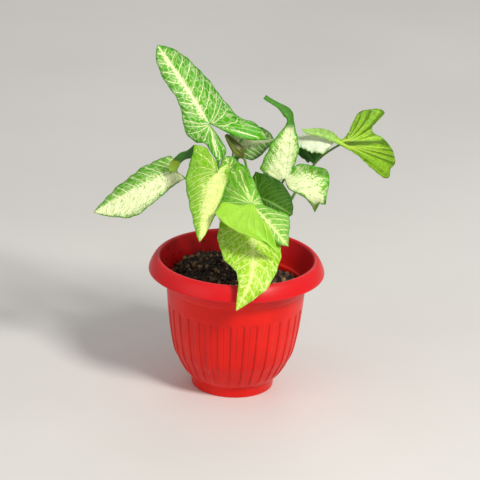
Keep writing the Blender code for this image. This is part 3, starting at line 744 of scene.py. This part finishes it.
def petiole(place, stalk, end):
    route = spline([(place[0], place[1], PETIOLE_ROOT), *stalk, *end], PETIOLE_STEPS)
    share = lengths(route) / lengths(route)[-1]
    stations, values = zip(*PETIOLE_RADII)
    return sweep(route, np.interp(share, stations, values))


def petiole_end(leaf):
    """The petiole's last points, which meet the blade's underside at the junction."""
    place, side, upper = rib_frame(leaf, np.array([0.0]))
    if leaf.get("seat") == "behind":
        tangent = np.cross(upper[0], side[0])
        return place[0] - PETIOLE_SEAT * tangent, place[0] + 0.3 * tangent
    return place[0] - PETIOLE_SEAT * upper[0], place[0] - 0.1 * BLADE * upper[0]


def stem(place):
    """A short jointed stem with the worn ends of old sheaths."""
    heights = np.linspace(STEM_BOTTOM, STEM_TOP, STEM_RINGS)
    share = (heights - STEM_BOTTOM) / (STEM_TOP - STEM_BOTTOM)
    radii = STEM_RADIUS + (STEM_TOP_RADIUS - STEM_RADIUS) * share
    sheaths = np.abs(np.sin(heights * math.pi / SHEATH_SPACING)) ** 4
    radii -= SHEATH_DEPTH * smoothstep(0.55, 1.0, sheaths)
    points = [(place[0], place[1], z) for z in heights]
    return sweep(points, radii, STEM_SIDES)


def furled_direction():
    return unit(np.subtract(FURLED_AXIS[1], FURLED_AXIS[0], dtype=float))


def make_shoot(name, place):
    shapes = [stem(place)]
    for leaf in LEAVES.values():
        if leaf["shoot"] == name:
            shapes.append(petiole(place, leaf["stalk"], petiole_end(leaf)))
    if name == "shoot_back":
        end = np.array(FURLED_AXIS[0], float)
        shapes.append(petiole(place, FURLED_STALK, (end - PETIOLE_SEAT * furled_direction(), end)))
    shoot = add_piece(name + "_stalks", joined_mesh(name, shapes))
    shoot.data.materials.append(stalk_material())
    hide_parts(name)


def make_furled_leaf():
    """A young leaf rolled around itself, its edge winding up to the tip."""
    route = spline(FURLED_AXIS, FURLED_STEPS)
    share = np.linspace(0.0, 1.0, len(route))
    radius = np.interp(share, np.linspace(0.0, 1.0, len(FURLED_RADII)), FURLED_RADII)
    turns = np.linspace(0.0, FURLED_TURNS * 2.0 * math.pi, FURLED_COLUMNS)
    tangents = unit(np.gradient(route, axis=0))
    across = unit(np.cross(tangents, SIDEWAYS))
    other = np.cross(tangents, across)
    spiral = (FURLED_SPIRAL[0] + FURLED_SPIRAL[1] * turns / turns[-1])[None, :] * radius[:, None]
    angle = turns[None, :] + FURLED_TWIST * share[:, None] + FURLED_START
    points = (route[:, None] + spiral[..., None] * (np.cos(angle)[..., None] * across[:, None]
                                                     + np.sin(angle)[..., None] * other[:, None]))
    numbers = np.arange(points[..., 0].size).reshape(points.shape[:2])
    mesh = joined_mesh("leaf_furled", [(points.reshape(-1, 3), true_faces(grid_quads(numbers)))])
    flat = np.broadcast_arrays(turns[None, :] * FURLED_FLAT[0], share[:, None] * FURLED_FLAT[1])
    flat = np.stack(flat, axis=-1).reshape(-1, 2)
    add_flat_map(mesh, flat * FLAT_SCALE)
    leaf = add_piece("leaf_furled_roll", mesh)
    thicken = leaf.modifiers.new("Thickness", "SOLIDIFY")
    thicken.thickness = FURLED_THICKNESS * MM
    thicken.offset = 0.0
    leaf.data.materials.append(furled_material())
    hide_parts("leaf_furled")


# Pot.

def flute_depth(angle, height):
    """Depth of the upright grooves in the wall, each with a rounded top."""
    off_centre = np.abs((angle / (2.0 * math.pi) * FLUTES) % 1.0 - 0.5) * 2.0
    groove = smoothstep(FLUTE_WIDTH + FLUTE_EDGE, FLUTE_WIDTH - FLUTE_EDGE, off_centre)
    arch = FLUTE_ARCH * (1.0 - np.sqrt(1.0 - np.minimum(off_centre / (FLUTE_WIDTH + 0.1), 1.0) ** 2))
    top = smoothstep(FLUTE_TOP - arch + 0.3, FLUTE_TOP - arch - 0.7, height)
    bottom = smoothstep(FLUTE_BOTTOM - 0.5, FLUTE_BOTTOM + 7.0, height)
    return FLUTE_DEPTH * groove * top * bottom


def pot_profile():
    """The pot's section, down its outside, across the bottom and up its inside, and where it is fluted."""
    rim = spline(RIM_OUTER, PROFILE_STEPS)
    wall = at_fractions(spline(WALL_OUTER, WALL_STEPS), np.linspace(0.0, 1.0, WALL_ROWS))
    inner = spline((BOTTOM_INNER, *WALL_INNER), PROFILE_STEPS)
    inner_rim = at_fractions(np.array([LEDGE_INNER[-1], RIM_OUTER[0]]), np.linspace(0.05, 0.97, RIM_ROWS))
    parts = [rim, STEP_OUTER, wall, FOOT_OUTER, BOTTOM, inner, LEDGE_INNER, inner_rim]
    fluted = np.concatenate([np.full(len(part), part is wall) for part in parts])
    return np.vstack([np.asarray(part, float) for part in parts]), fluted


def revolve(profile, fluted, steps):
    """Points and faces of the profile turned about Z, with grooves where it is fluted."""
    angles = np.linspace(0.0, 2.0 * math.pi, steps, endpoint=False)
    radius = np.repeat(profile[:, :1], steps, axis=1)
    height = np.repeat(profile[:, 1:], steps, axis=1)
    radius = radius - np.where(fluted[:, None], flute_depth(angles[None, :], height), 0.0)
    points = np.stack([radius * np.cos(angles), radius * np.sin(angles), height], axis=-1)
    numbers = np.arange(radius.size).reshape(radius.shape)
    axis = profile[:, 0] < 1e-9
    numbers[axis] = numbers[axis, :1]
    below = np.roll(numbers, -1, axis=0)
    quads = np.stack([numbers, below, np.roll(below, -1, axis=1), np.roll(numbers, -1, axis=1)], axis=-1)
    return points.reshape(-1, 3), true_faces(quads)


def make_pot():
    profile, fluted = pot_profile()
    mesh = used_points_only(joined_mesh("pot", [revolve(profile, fluted, POT_STEPS)]))
    pot = add_piece("pot_moulding", mesh)
    for i in range(DRAIN_HOLES):
        angle = 2.0 * math.pi * i / DRAIN_HOLES
        place = (DRAIN_CIRCLE * math.cos(angle), DRAIN_CIRCLE * math.sin(angle))
        drill(pot, place, DRAIN_RADIUS, -1.0, FLOOR + 1.0)
    pot.data.set_sharp_from_angle(angle=math.radians(SHARP_ANGLE))
    pot.data.materials.clear()
    pot.data.materials.append(pot_material())
    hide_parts("pot")


def drill(target, place, radius, low, high):
    """Cuts a round upright hole and keeps the result as the target's mesh."""
    bpy.ops.mesh.primitive_cylinder_add(
        vertices=32, radius=radius * MM, depth=(high - low) * MM,
        location=(place[0] * MM, place[1] * MM, 0.5 * (low + high) * MM))
    cutter = bpy.context.object
    cut = target.modifiers.new("Hole", "BOOLEAN")
    cut.operation = "DIFFERENCE"
    cut.solver = "MANIFOLD"
    cut.object = cutter
    bpy.context.view_layer.update()
    evaluated = target.evaluated_get(bpy.context.evaluated_depsgraph_get())
    target.data = bpy.data.meshes.new_from_object(evaluated)
    target.modifiers.clear()
    bpy.data.objects.remove(cutter, do_unlink=True)


# Soil.

def soil_height(x, y):
    """Height of the soil's surface: a mound, a slope down to the right, lumps and grains."""
    dx, dy = x - SOIL_MOUND_AT[0], y - SOIL_MOUND_AT[1]
    mound = SOIL_MOUND * math.exp(-(dx * dx + dy * dy) / (2.0 * SOIL_MOUND_WIDTH ** 2))
    lumps = SOIL_LUMP * noise.noise(Vector((x, y, 0.0)) / SOIL_LUMP_SIZE)
    edge = SOIL_EDGE_DROP * (math.hypot(x, y) / SOIL_RADIUS) ** 6
    return SOIL_LEVEL + mound - SOIL_TILT * x + lumps - edge


def soil_grain(x, y):
    return sum(height * noise.noise(Vector((x, y, 7.0 * size)) / size) for size, height in SOIL_GRAINS)


def make_soil():
    """The body of the soil, with a rough top."""
    aside, above = SOIL_GAP
    wall = [(r - aside, z + above) for r, z in (BOTTOM_INNER, *WALL_INNER) if z < SOIL_LEVEL - 10.0]
    top = [(r, SOIL_LEVEL) for r in np.linspace(0.0, SOIL_RADIUS, SOIL_ROWS)]
    profile = np.array([*top, *reversed(wall), (0.0, FLOOR + above)])
    points, faces = revolve(profile, np.zeros(len(profile), bool), SOIL_STEPS)
    surface = np.abs(points[:, 2] - SOIL_LEVEL) < 1e-6
    for i in np.flatnonzero(surface):
        x, y = points[i, :2]
        points[i, 2] = soil_height(x, y) + soil_grain(x, y)
    soil = add_piece("soil_bed", used_points_only(joined_mesh("soil", [(points, faces)])))
    soil.data.materials.append(soil_material())
    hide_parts("soil")


def lump(random, size):
    """A small rough clod: a ball of 20 or 80 faces with moved corners."""
    bm = bmesh.new()
    bmesh.ops.create_icosphere(bm, subdivisions=2 if size > 1.1 else 1, radius=1.0)
    stretch = random.uniform(0.65, 1.25, 3)
    verts = np.array([v.co[:] for v in bm.verts])
    faces = [[v.index for v in face.verts] for face in bm.faces]
    bm.free()
    verts = verts * (1.0 + random.uniform(-0.3, 0.3, (len(verts), 1))) * stretch * size
    return verts, faces


def chip(random, size):
    """A flat splinter of bark."""
    length, width, depth = size * random.uniform(1.6, 3.4), size * 0.7, size * 0.3
    x, spread = np.array(CHIP_PLACES), np.array(CHIP_WIDTHS)
    verts = []
    for side_y, side_z in ((-1.0, -1.0), (1.0, -1.0), (1.0, 1.0), (-1.0, 1.0)):
        jitter = random.uniform(-0.15, 0.15, 4)
        verts.append(np.stack([x * length * 0.5, side_y * spread * width * 0.5 + jitter,
                               side_z * depth * 0.5 + 0.3 * jitter], axis=-1))
    verts = np.stack(verts, axis=1).reshape(-1, 3)
    faces = [[4 * i + j, 4 * i + (j + 1) % 4, 4 * i + 4 + (j + 1) % 4, 4 * i + 4 + j]
             for i in range(3) for j in range(4)]
    return verts, faces + [[3, 2, 1, 0], [12, 13, 14, 15]]


def turned(verts, random):
    """The points turned to a random attitude."""
    turn = Matrix.Rotation(random.uniform(0.0, 2.0 * math.pi), 3, random.normal(size=3).tolist())
    return verts @ np.array(turn).T


def soil_spot(random):
    """A random place on the soil, outside the stems."""
    while True:
        radius = (SOIL_RADIUS - 0.5) * math.sqrt(random.uniform(0.0, 1.0))
        angle = random.uniform(0.0, 2.0 * math.pi)
        x, y = radius * math.cos(angle), radius * math.sin(angle)
        if all(math.hypot(x - a, y - b) > STEM_RADIUS + 1.0 for a, b in SHOOTS.values()):
            return x, y


def make_crumbs():
    """Clods and splinters on the soil, and a few that stick to the pot's wall."""
    random = np.random.default_rng(CRUMB_SEED)
    shapes, tones = [], []
    for i in range(CRUMBS + CHIPS):
        size = CRUMB_SIZE + CRUMB_SPREAD * random.uniform(0.0, 1.0) ** 3
        verts, faces = lump(random, size) if i < CRUMBS else chip(random, size)
        x, y = soil_spot(random)
        z = soil_height(x, y) + soil_grain(x, y) + 0.25 * size
        shapes.append((turned(verts, random) + (x, y, z), faces))
        tones.append(random.uniform(0.0, 0.95) if i < CRUMBS else random.uniform(0.55, 1.0))
    for _ in range(WALL_SPECKS):
        height = SOIL_LEVEL + 3.0 + SPECK_REACH * random.uniform(0.0, 1.0) ** 1.6
        radius = np.interp(height, *zip(LEDGE_INNER[-1][::-1], RIM_OUTER[0][::-1])) - 0.25
        angle = random.uniform(*SPECK_ARC) * math.pi
        verts, faces = lump(random, random.uniform(*SPECK_SIZES))
        place = (radius * math.cos(angle), radius * math.sin(angle), height)
        shapes.append((turned(verts, random) + place, faces))
        tones.append(random.uniform(0.0, 0.4))
    mesh = joined_mesh("soil_crumbs", shapes)
    tone = np.concatenate([np.full(len(points), value) for (points, _), value in zip(shapes, tones)])
    add_field(mesh, "tone", tone)
    crumbs = add_piece("soil_crumbs", mesh)
    crumbs.data.materials.append(crumb_material())


# Materials.

class Nodes:
    """Short calls that add shader nodes and hand back their output sockets."""

    def __init__(self, name):
        self.made = bpy.data.materials.new(name)
        self.made.use_nodes = True
        self.tree = self.made.node_tree
        self.shader = self.tree.nodes["Principled BSDF"]

    def plug(self, socket, value):
        if isinstance(value, bpy.types.NodeSocket):
            self.tree.links.new(value, socket)
        elif isinstance(value, tuple) and len(value) == 3 and socket.type == "RGBA":
            socket.default_value = (*value, 1.0)
        else:
            socket.default_value = value

    def math(self, operation, *values):
        node = self.tree.nodes.new("ShaderNodeMath")
        node.operation = operation
        for socket, value in zip(node.inputs, values):
            self.plug(socket, value)
        return node.outputs[0]

    def chain(self, operation, first, *others):
        for value in others:
            first = self.math(operation, first, value)
        return first

    def times(self, *values):
        return self.chain("MULTIPLY", *values)

    def total(self, *values):
        return self.chain("ADD", *values)

    def most(self, *values):
        return self.chain("MAXIMUM", *values)

    def less(self, value, taken):
        return self.math("SUBTRACT", value, taken)

    def line(self, value, slope, start):
        """Slope times the value, plus start."""
        return self.math("MULTIPLY_ADD", value, slope, start)

    def fade(self, value, low, high, start=0.0, end=1.0):
        """Start below low and end above high, with a smooth change between."""
        node = self.tree.nodes.new("ShaderNodeMapRange")
        node.interpolation_type = "SMOOTHSTEP"
        for name, given in (("Value", value), ("From Min", low), ("From Max", high), ("To Min", start),
                            ("To Max", end)):
            self.plug(node.inputs[name], given)
        return node.outputs[0]

    def mix(self, share, first, second):
        node = self.tree.nodes.new("ShaderNodeMix")
        node.data_type = "RGBA"
        for index, value in ((0, share), (6, first), (7, second)):
            self.plug(node.inputs[index], value)
        return node.outputs[2]

    def field(self, name):
        node = self.tree.nodes.new("ShaderNodeAttribute")
        node.attribute_name = name
        return node.outputs["Fac"]

    def flat(self):
        node = self.tree.nodes.new("ShaderNodeUVMap")
        node.uv_map = "Flat"
        return node.outputs[0]

    def place(self):
        return self.tree.nodes.new("ShaderNodeTexCoord").outputs["Object"]

    def vector(self, x, y, z=0.0):
        node = self.tree.nodes.new("ShaderNodeCombineXYZ")
        for socket, value in zip(node.inputs, (x, y, z)):
            self.plug(socket, value)
        return node.outputs[0]

    def split(self, vector):
        node = self.tree.nodes.new("ShaderNodeSeparateXYZ")
        self.plug(node.inputs[0], vector)
        return node.outputs

    def noise(self, vector, scale, detail=3.0, roughness=0.55):
        node = self.tree.nodes.new("ShaderNodeTexNoise")
        self.plug(node.inputs["Vector"], vector)
        node.inputs["Scale"].default_value = scale
        node.inputs["Detail"].default_value = detail
        node.inputs["Roughness"].default_value = roughness
        return node.outputs["Fac"]

    def cells(self, vector, scale, feature="DISTANCE_TO_EDGE"):
        node = self.tree.nodes.new("ShaderNodeTexVoronoi")
        node.feature = feature
        self.plug(node.inputs["Vector"], vector)
        node.inputs["Scale"].default_value = scale
        return node.outputs["Distance"]

    def bump(self, height, distance, strength):
        node = self.tree.nodes.new("ShaderNodeBump")
        node.inputs["Distance"].default_value = distance
        node.inputs["Strength"].default_value = strength
        self.plug(node.inputs["Height"], height)
        self.plug(self.shader.inputs["Normal"], node.outputs[0])

    def surface(self, **values):
        for name, value in values.items():
            self.plug(self.shader.inputs[name.replace("_", " ")], value)
        return self.made


def vein_lines(nodes, drawing):
    """How strongly each point is in the midrib, in a side vein, in the fine net, and the vein count."""
    flat = nodes.flat()
    rib, edge, pitch = nodes.field("rib"), nodes.field("edge"), nodes.field("pitch")
    wander = nodes.line(nodes.noise(flat, 26.0, 2.0), 0.36, -0.18)
    count = nodes.total(nodes.field("vein"), wander)
    past = nodes.math("FRACT", nodes.total(count, 0.5))
    offset = nodes.math("ABSOLUTE", nodes.less(past, 0.5))
    away = nodes.times(offset, pitch)
    width = nodes.fade(rib, 0.0, 24.0, drawing["vein"], 0.35 * drawing["vein"])
    side = nodes.fade(nodes.math("DIVIDE", away, width), 0.5, 1.7, 1.0, 0.0)
    side = nodes.times(side, nodes.fade(edge, 0.5, 3.0))
    halo = nodes.fade(nodes.math("DIVIDE", away, width), 0.5, 5.5, 1.0, 0.0)
    middle_width = nodes.fade(edge, 0.0, 16.0, 0.25, 1.15)
    middle = nodes.fade(nodes.math("DIVIDE", rib, middle_width), 0.55, 1.5, 1.0, 0.0)
    mesh = nodes.vector(nodes.times(count, 2.2), nodes.times(rib, 0.3))
    net = nodes.fade(nodes.cells(mesh, 1.0), 0.02, 0.16, 1.0, 0.0)
    return dict(middle=middle, side=side, halo=halo, net=net, count=count)


def by_half(nodes, pair):
    """The pair's first value on the blade's left half and its second on the right."""
    if abs(pair[0] - pair[1]) < 1e-6:
        return pair[0]
    return nodes.fade(nodes.split(nodes.flat())[0], -0.006, 0.006, pair[0], pair[1])


def sunken_veins(nodes, lines):
    """Height of the upper side: veins a little below the rest, and fine pores."""
    pores = nodes.cells(nodes.flat(), 260.0, "F1")
    height = nodes.line(lines["side"], -0.55, nodes.times(lines["middle"], -0.5))
    height = nodes.line(lines["net"], -0.22, height)
    return nodes.line(pores, 0.14, height)


def shade_the_folds(nodes, count, colour, drawing):
    """The colour with painted shade on one side of each fold, and a painted shadow in a wedge beside the
    seam.
    """
    rib = nodes.field("rib")
    slope = nodes.math("SINE", nodes.times(count, 2.0 * math.pi))
    shaded_side = nodes.times(nodes.fade(slope, -0.4, 0.7), nodes.fade(rib, 2.0, 9.0))
    seam_shadow_reach = nodes.math("DIVIDE", nodes.field("seam"), nodes.line(rib, 0.35, 1.5))
    # Painted shadow of the fold, on the right half beside the seam.
    seam = nodes.fade(seam_shadow_reach, 0.6, 1.3, by_half(nodes, (0.0, 1.0)), 0.0)
    shaded_side = nodes.most(nodes.times(shaded_side, by_half(nodes, (0.1, 0.85))), seam)
    return nodes.mix(nodes.times(shaded_side, drawing["fold_shade"]), colour, srgb(drawing["fold_shadow_colour"]))


def cream_share(nodes, lines, share, blotch, drawing):
    """How much of each point is cream: the middle, the veins, and streaks and specks between them."""
    lobe = nodes.fade(nodes.field("station"), -0.12, 0.1, drawing["lobe"], 1.0)
    streak_at = nodes.vector(nodes.times(lines["count"], 3.4), nodes.times(nodes.field("rib"), 0.16))
    streak = nodes.noise(streak_at, 1.6, 4.0, 0.7)
    mixed = nodes.total(nodes.times(blotch, 0.3), nodes.times(streak, 0.7))
    spread = by_half(nodes, drawing["speckle"])
    reach = nodes.times(nodes.less(mixed, 0.5), nodes.times(spread, -3.2))
    wide = nodes.times(by_half(nodes, drawing["centre"]), lobe)
    centre = nodes.fade(nodes.less(nodes.total(reach, share), wide), -0.07, 0.12, 1.0, 0.0)
    halo = nodes.times(lines["halo"], nodes.fade(mixed, 0.42, 0.62), nodes.times(spread, lobe, 0.85))
    net = nodes.times(lines["net"], nodes.fade(blotch, 0.38, 0.6, 0.1, drawing["net"]))
    cream = nodes.most(centre, lines["middle"], nodes.times(lines["side"], 0.92), halo, net)
    green_line = nodes.fade(streak, 0.50, 0.64, 0.0, 0.7 * min(1.0, sum(drawing["centre"])))
    return nodes.times(cream, nodes.less(1.0, green_line))


def blade_material(name, drawing):
    """The upper side: green with cream in the middle, along the veins and in streaks between them."""
    nodes = Nodes(name + "_upper")
    lines = vein_lines(nodes, drawing)
    rib, edge = nodes.field("rib"), nodes.field("edge")
    share = nodes.math("DIVIDE", rib, nodes.total(rib, edge, 0.3))
    blotch = nodes.noise(nodes.flat(), 34.0, 4.0, 0.65)
    shade = nodes.line(nodes.fade(share, 0.35, 1.0), 0.45, nodes.fade(blotch, 0.3, 0.7, 0.0, 0.55))
    border = nodes.fade(edge, 0.35, 1.5, drawing["margin"], 0.0)
    green = nodes.mix(shade, srgb(drawing["green"]), srgb(drawing["dark"]))
    green = nodes.mix(border, green, srgb(drawing["dark"]))
    cream = nodes.times(cream_share(nodes, lines, share, blotch, drawing), nodes.less(1.0, border))
    colour = nodes.mix(cream, green, srgb(drawing["cream"]))
    # Painted shade on the folds and beside the seam, where the look asks for it.
    if drawing["fold_shade"]:
        colour = shade_the_folds(nodes, lines["count"], colour, drawing)
    if drawing["end"]:
        tint, low, high = drawing["end"]
        there = nodes.fade(nodes.field("station"), low, high, 0.0, 0.93)
        colour = nodes.mix(there, colour, nodes.mix(shade, srgb(tint), tuple(0.45 * c for c in srgb(tint))))
    nodes.bump(sunken_veins(nodes, lines), 0.00035, 0.9)
    return nodes.surface(Base_Color=colour, Roughness=nodes.line(blotch, 0.16, 0.34),
                         Subsurface_Weight=0.12, Subsurface_Scale=0.0015, Specular_IOR_Level=0.22)


def underside_material(name, drawing):
    """The lower side: paler and matt, with raised veins."""
    nodes = Nodes(name + "_under")
    lines = vein_lines(nodes, drawing)
    blotch = nodes.noise(nodes.flat(), 30.0, 4.0, 0.6)
    base = tuple(0.86 * c for c in srgb(drawing["under"]))
    colour = nodes.mix(nodes.fade(blotch, 0.3, 0.7, 0.0, 0.45), srgb(drawing["under"]), base)
    pale = nodes.most(nodes.times(lines["side"], 0.35), nodes.times(lines["middle"], 0.5),
                      nodes.times(lines["net"], 0.12))
    colour = nodes.mix(pale, colour, tuple(min(1.0, 1.35 * c + 0.06) for c in srgb(drawing["under"])))
    height = nodes.most(lines["side"], lines["middle"])
    height = nodes.line(lines["net"], 0.25, height)
    # Painted sunlight: towards the end of the lobe the lower side fades to the lighter tint.
    if drawing["painted_sunlit_end"]:
        tint, low, high = drawing["painted_sunlit_end"]
        colour = nodes.mix(nodes.fade(nodes.field("station"), high, low, 1.0, 0.0), colour, srgb(tint))
    nodes.bump(height, 0.0003, 0.9)
    return nodes.surface(Base_Color=colour, Roughness=nodes.line(blotch, 0.15, 0.48),
                         Subsurface_Weight=0.12, Subsurface_Scale=0.0015)


def stalk_material():
    """Green stalks, streaked along their length, and browner down by the soil."""
    nodes = Nodes("stalk")
    place = nodes.place()
    x, y, z = nodes.split(place)
    along = nodes.vector(x, y, nodes.times(z, 0.12))
    streak = nodes.noise(along, 900.0, 3.0, 0.6)
    patch = nodes.noise(place, 90.0, 3.0, 0.6)
    green = nodes.mix(nodes.fade(streak, 0.3, 0.7), srgb((62, 108, 34)), srgb((126, 172, 74)))
    green = nodes.mix(nodes.fade(patch, 0.45, 0.75, 0.0, 0.5), green, srgb((44, 84, 30)))
    low = nodes.fade(z, 0.098, 0.122, 1.0, 0.0)
    brown = nodes.times(low, nodes.fade(patch, 0.25, 0.6, 0.3, 0.9))
    colour = nodes.mix(brown, green, srgb((104, 92, 52)))
    nodes.bump(streak, 0.0002, 0.5)
    return nodes.surface(Base_Color=colour, Roughness=nodes.line(patch, 0.2, 0.34))


def furled_material():
    """The rolled young leaf: yellow-green with fine stripes, and olive brown down its right side."""
    nodes = Nodes("leaf_furled")
    flat = nodes.flat()
    x, y, _ = nodes.split(flat)
    skew = nodes.line(y, 0.5, x)
    stripe = nodes.math("SINE", nodes.times(skew, 190.0))
    blotch = nodes.noise(flat, 30.0, 4.0, 0.6)
    colour = nodes.mix(nodes.fade(blotch, 0.3, 0.7), srgb((112, 140, 30)), srgb((160, 184, 60)))
    colour = nodes.mix(nodes.fade(stripe, 0.6, 1.0, 0.0, 0.6), colour, srgb((206, 220, 110)))
    turn = nodes.line(y, FURLED_TWIST / (FURLED_FLAT[1] * FLAT_SCALE), FURLED_START)
    turn = nodes.line(x, 1.0 / (FURLED_FLAT[0] * FLAT_SCALE), turn)
    right = nodes.fade(nodes.math("COSINE", turn), -0.5, 0.35, 0.9, 0.0)
    brown = nodes.mix(nodes.fade(blotch, 0.35, 0.7), srgb((88, 92, 26)), srgb((66, 60, 22)))
    colour = nodes.mix(nodes.times(right, nodes.fade(blotch, 0.2, 0.5, 0.7, 1.0)), colour, brown)
    nodes.bump(stripe, 0.0002, 0.5)
    return nodes.surface(Base_Color=colour, Roughness=nodes.line(blotch, 0.15, 0.38))


def groove_edges(nodes, place):
    """How near each point is to the edge of a groove in the pot's wall, where shade is painted."""
    x, y, z = nodes.split(place)
    turn = nodes.times(nodes.math("ARCTAN2", y, x), FLUTES / (2.0 * math.pi))
    off = nodes.math("ABSOLUTE", nodes.less(nodes.math("FRACT", turn), 0.5))
    away = nodes.math("ABSOLUTE", nodes.less(off, 0.5 * FLUTE_WIDTH))
    low = nodes.fade(z, FLUTE_BOTTOM * MM, (FLUTE_BOTTOM + 6.0) * MM)
    high = nodes.fade(z, (FLUTE_TOP - 3.0) * MM, (FLUTE_TOP - 0.5) * MM, 1.0, 0.0)
    return nodes.times(nodes.fade(away, 0.01, 0.07, 1.0, 0.0), nodes.times(low, high))


def pot_material():
    """Moulded red plastic: a little uneven, dusty where it faces up, finely scratched, and with painted shade
    along the edges of its grooves.
    """
    nodes = Nodes("pot_plastic")
    place = nodes.place()
    facing = nodes.tree.nodes.new("ShaderNodeSeparateXYZ")
    nodes.plug(facing.inputs[0], nodes.tree.nodes.new("ShaderNodeNewGeometry").outputs["Normal"])
    patch = nodes.noise(place, 26.0, 4.0, 0.6)
    fine = nodes.noise(place, 700.0, 3.0, 0.6)
    colour = nodes.mix(nodes.fade(patch, 0.3, 0.7), srgb((228, 24, 8)), srgb((214, 16, 7)))
    high = nodes.fade(nodes.split(place)[2], (LIP_HEIGHT - 11.0) * MM, (LIP_HEIGHT - 3.0) * MM)
    colour = nodes.mix(high, colour, srgb((212, 16, 24)))
    # Painted shade: darker red along the groove edges, where shadow falls into the grooves.
    groove_shade = nodes.times(groove_edges(nodes, place), nodes.fade(patch, 0.25, 0.7, 0.35, 0.6))
    colour = nodes.mix(groove_shade, colour, srgb((128, 6, 5)))
    settled = nodes.fade(patch, 0.3, 0.65, 0.06, 0.32)
    dust = nodes.times(nodes.fade(facing.outputs[2], 0.15, 0.95), settled)
    colour = nodes.mix(dust, colour, srgb((206, 66, 70)))
    speck = nodes.times(nodes.fade(nodes.cells(place, 240.0, "F1"), 0.05, 0.13, 1.0, 0.0),
                       nodes.fade(nodes.noise(place, 60.0), 0.55, 0.7))
    colour = nodes.mix(nodes.times(speck, 0.5), colour, srgb((120, 60, 40)))
    scratch_at = nodes.tree.nodes.new("ShaderNodeMapping")
    nodes.plug(scratch_at.inputs[0], place)
    scratch_at.inputs["Scale"].default_value = (1.0, 1.0, 9.0)
    scratch = nodes.noise(scratch_at.outputs[0], 160.0, 2.0, 0.5)
    height = nodes.line(scratch, 0.5, nodes.times(fine, 0.4))
    nodes.bump(height, 0.00007, 0.7)
    rough = nodes.line(patch, 0.16, nodes.line(fine, 0.08, 0.22))
    rough = nodes.line(dust, 0.3, rough)
    return nodes.surface(Base_Color=colour, Roughness=rough, Specular_IOR_Level=0.26)


def soil_material():
    """Dark potting mix with lighter grains."""
    nodes = Nodes("soil_bed")
    place = nodes.place()
    patch = nodes.noise(place, 110.0, 5.0, 0.7)
    grain = nodes.noise(place, 620.0, 4.0, 0.7)
    colour = nodes.mix(nodes.fade(patch, 0.35, 0.68), srgb((8, 6, 5)), srgb((38, 28, 21)))
    colour = nodes.mix(nodes.fade(grain, 0.56, 0.72, 0.0, 0.75), colour, srgb((112, 90, 68)))
    nodes.bump(nodes.total(grain, patch), 0.0012, 0.9)
    return nodes.surface(Base_Color=colour, Roughness=nodes.fade(grain, 0.3, 0.7, 0.8, 0.98))


def crumb_material():
    """Clods from near black to brown, and tan splinters, each by its own tone."""
    nodes = Nodes("soil_crumbs")
    place = nodes.place()
    tone = nodes.field("tone")
    grain = nodes.noise(place, 900.0, 4.0, 0.7)
    colour = nodes.mix(nodes.fade(tone, 0.1, 0.6), srgb((13, 10, 8)), srgb((84, 64, 46)))
    colour = nodes.mix(nodes.fade(tone, 0.6, 0.95), colour, srgb((150, 122, 88)))
    colour = nodes.mix(nodes.fade(grain, 0.5, 0.75, 0.0, 0.4), colour, srgb((96, 76, 56)))
    nodes.bump(grain, 0.0006, 0.8)
    return nodes.surface(Base_Color=colour, Roughness=nodes.fade(grain, 0.3, 0.7, 0.82, 0.97))


def floor_material():
    nodes = Nodes("floor")
    patch = nodes.noise(nodes.place(), 3.0, 3.0, 0.5)
    colour = nodes.mix(nodes.fade(patch, 0.3, 0.7), (0.70, 0.69, 0.67), (0.74, 0.73, 0.71))
    return nodes.surface(Base_Color=colour, Roughness=0.75)


# Stage, lights and camera.

def make_floor():
    bpy.ops.mesh.primitive_plane_add(size=GROUND_SIZE, location=GROUND_PLACE)
    floor = bpy.context.object
    floor.name = "floor"
    floor.data.materials.append(floor_material())


def add_light(name, place, size, power, colour):
    data = bpy.data.lights.new(name, "AREA")
    data.shape = "DISK"
    data.size = size
    data.energy = power
    data.color = colour
    light = bpy.data.objects.new(name, data)
    light.location = place
    aim = Vector(LIGHT_AIM) - Vector(place)
    light.rotation_euler = aim.to_track_quat("-Z", "Y").to_euler()
    bpy.context.scene.collection.objects.link(light)


def make_lights():
    for name, light in LIGHTS.items():
        add_light(name, *light)
    world = bpy.data.worlds.new("studio")
    world.use_nodes = True
    surround = world.node_tree.nodes["Background"]
    surround.inputs[0].default_value = SURROUND
    surround.inputs[1].default_value = SURROUND_POWER
    bpy.context.scene.world = world


def make_camera():
    """The photograph's view: turned by its roll, and aimed so that the pot sits at its place in it."""
    tilt, roll = math.radians(VIEW_ELEVATION), math.radians(VIEW_ROLL)
    back = Vector((0.0, -math.cos(tilt), math.sin(tilt)))
    level = Vector((1.0, 0.0, 0.0))
    upright = back.cross(level)
    right = math.cos(roll) * level + math.sin(roll) * upright
    up = math.cos(roll) * upright - math.sin(roll) * level
    aim = Vector((0.0, 0.0, AIM_HEIGHT))
    aim += (PICTURE / 2.0 - AIM_PIXEL[0]) / PIXELS_PER_MM * right
    aim += (AIM_PIXEL[1] - PICTURE / 2.0) / PIXELS_PER_MM * up
    data = bpy.data.cameras.new("camera")
    data.sensor_width = SENSOR
    data.lens = PIXELS_PER_MM * VIEW_DISTANCE * SENSOR / PICTURE
    camera = bpy.data.objects.new("camera", data)
    turn = Matrix((right, up, back)).transposed().to_4x4()
    camera.matrix_world = Matrix.Translation((aim + VIEW_DISTANCE * back) * MM) @ turn
    bpy.context.scene.collection.objects.link(camera)
    bpy.context.scene.camera = camera
    bpy.context.scene.view_settings.view_transform = "Standard"


make_camera()
make_lights()
make_floor()
make_pot()
make_soil()
make_crumbs()
for shoot_name, shoot_place in SHOOTS.items():
    make_shoot(shoot_name, shoot_place)
for leaf_name, leaf_shape in LEAVES.items():
    make_blade(leaf_name, leaf_shape, LOOKS[leaf_name])
make_furled_leaf()
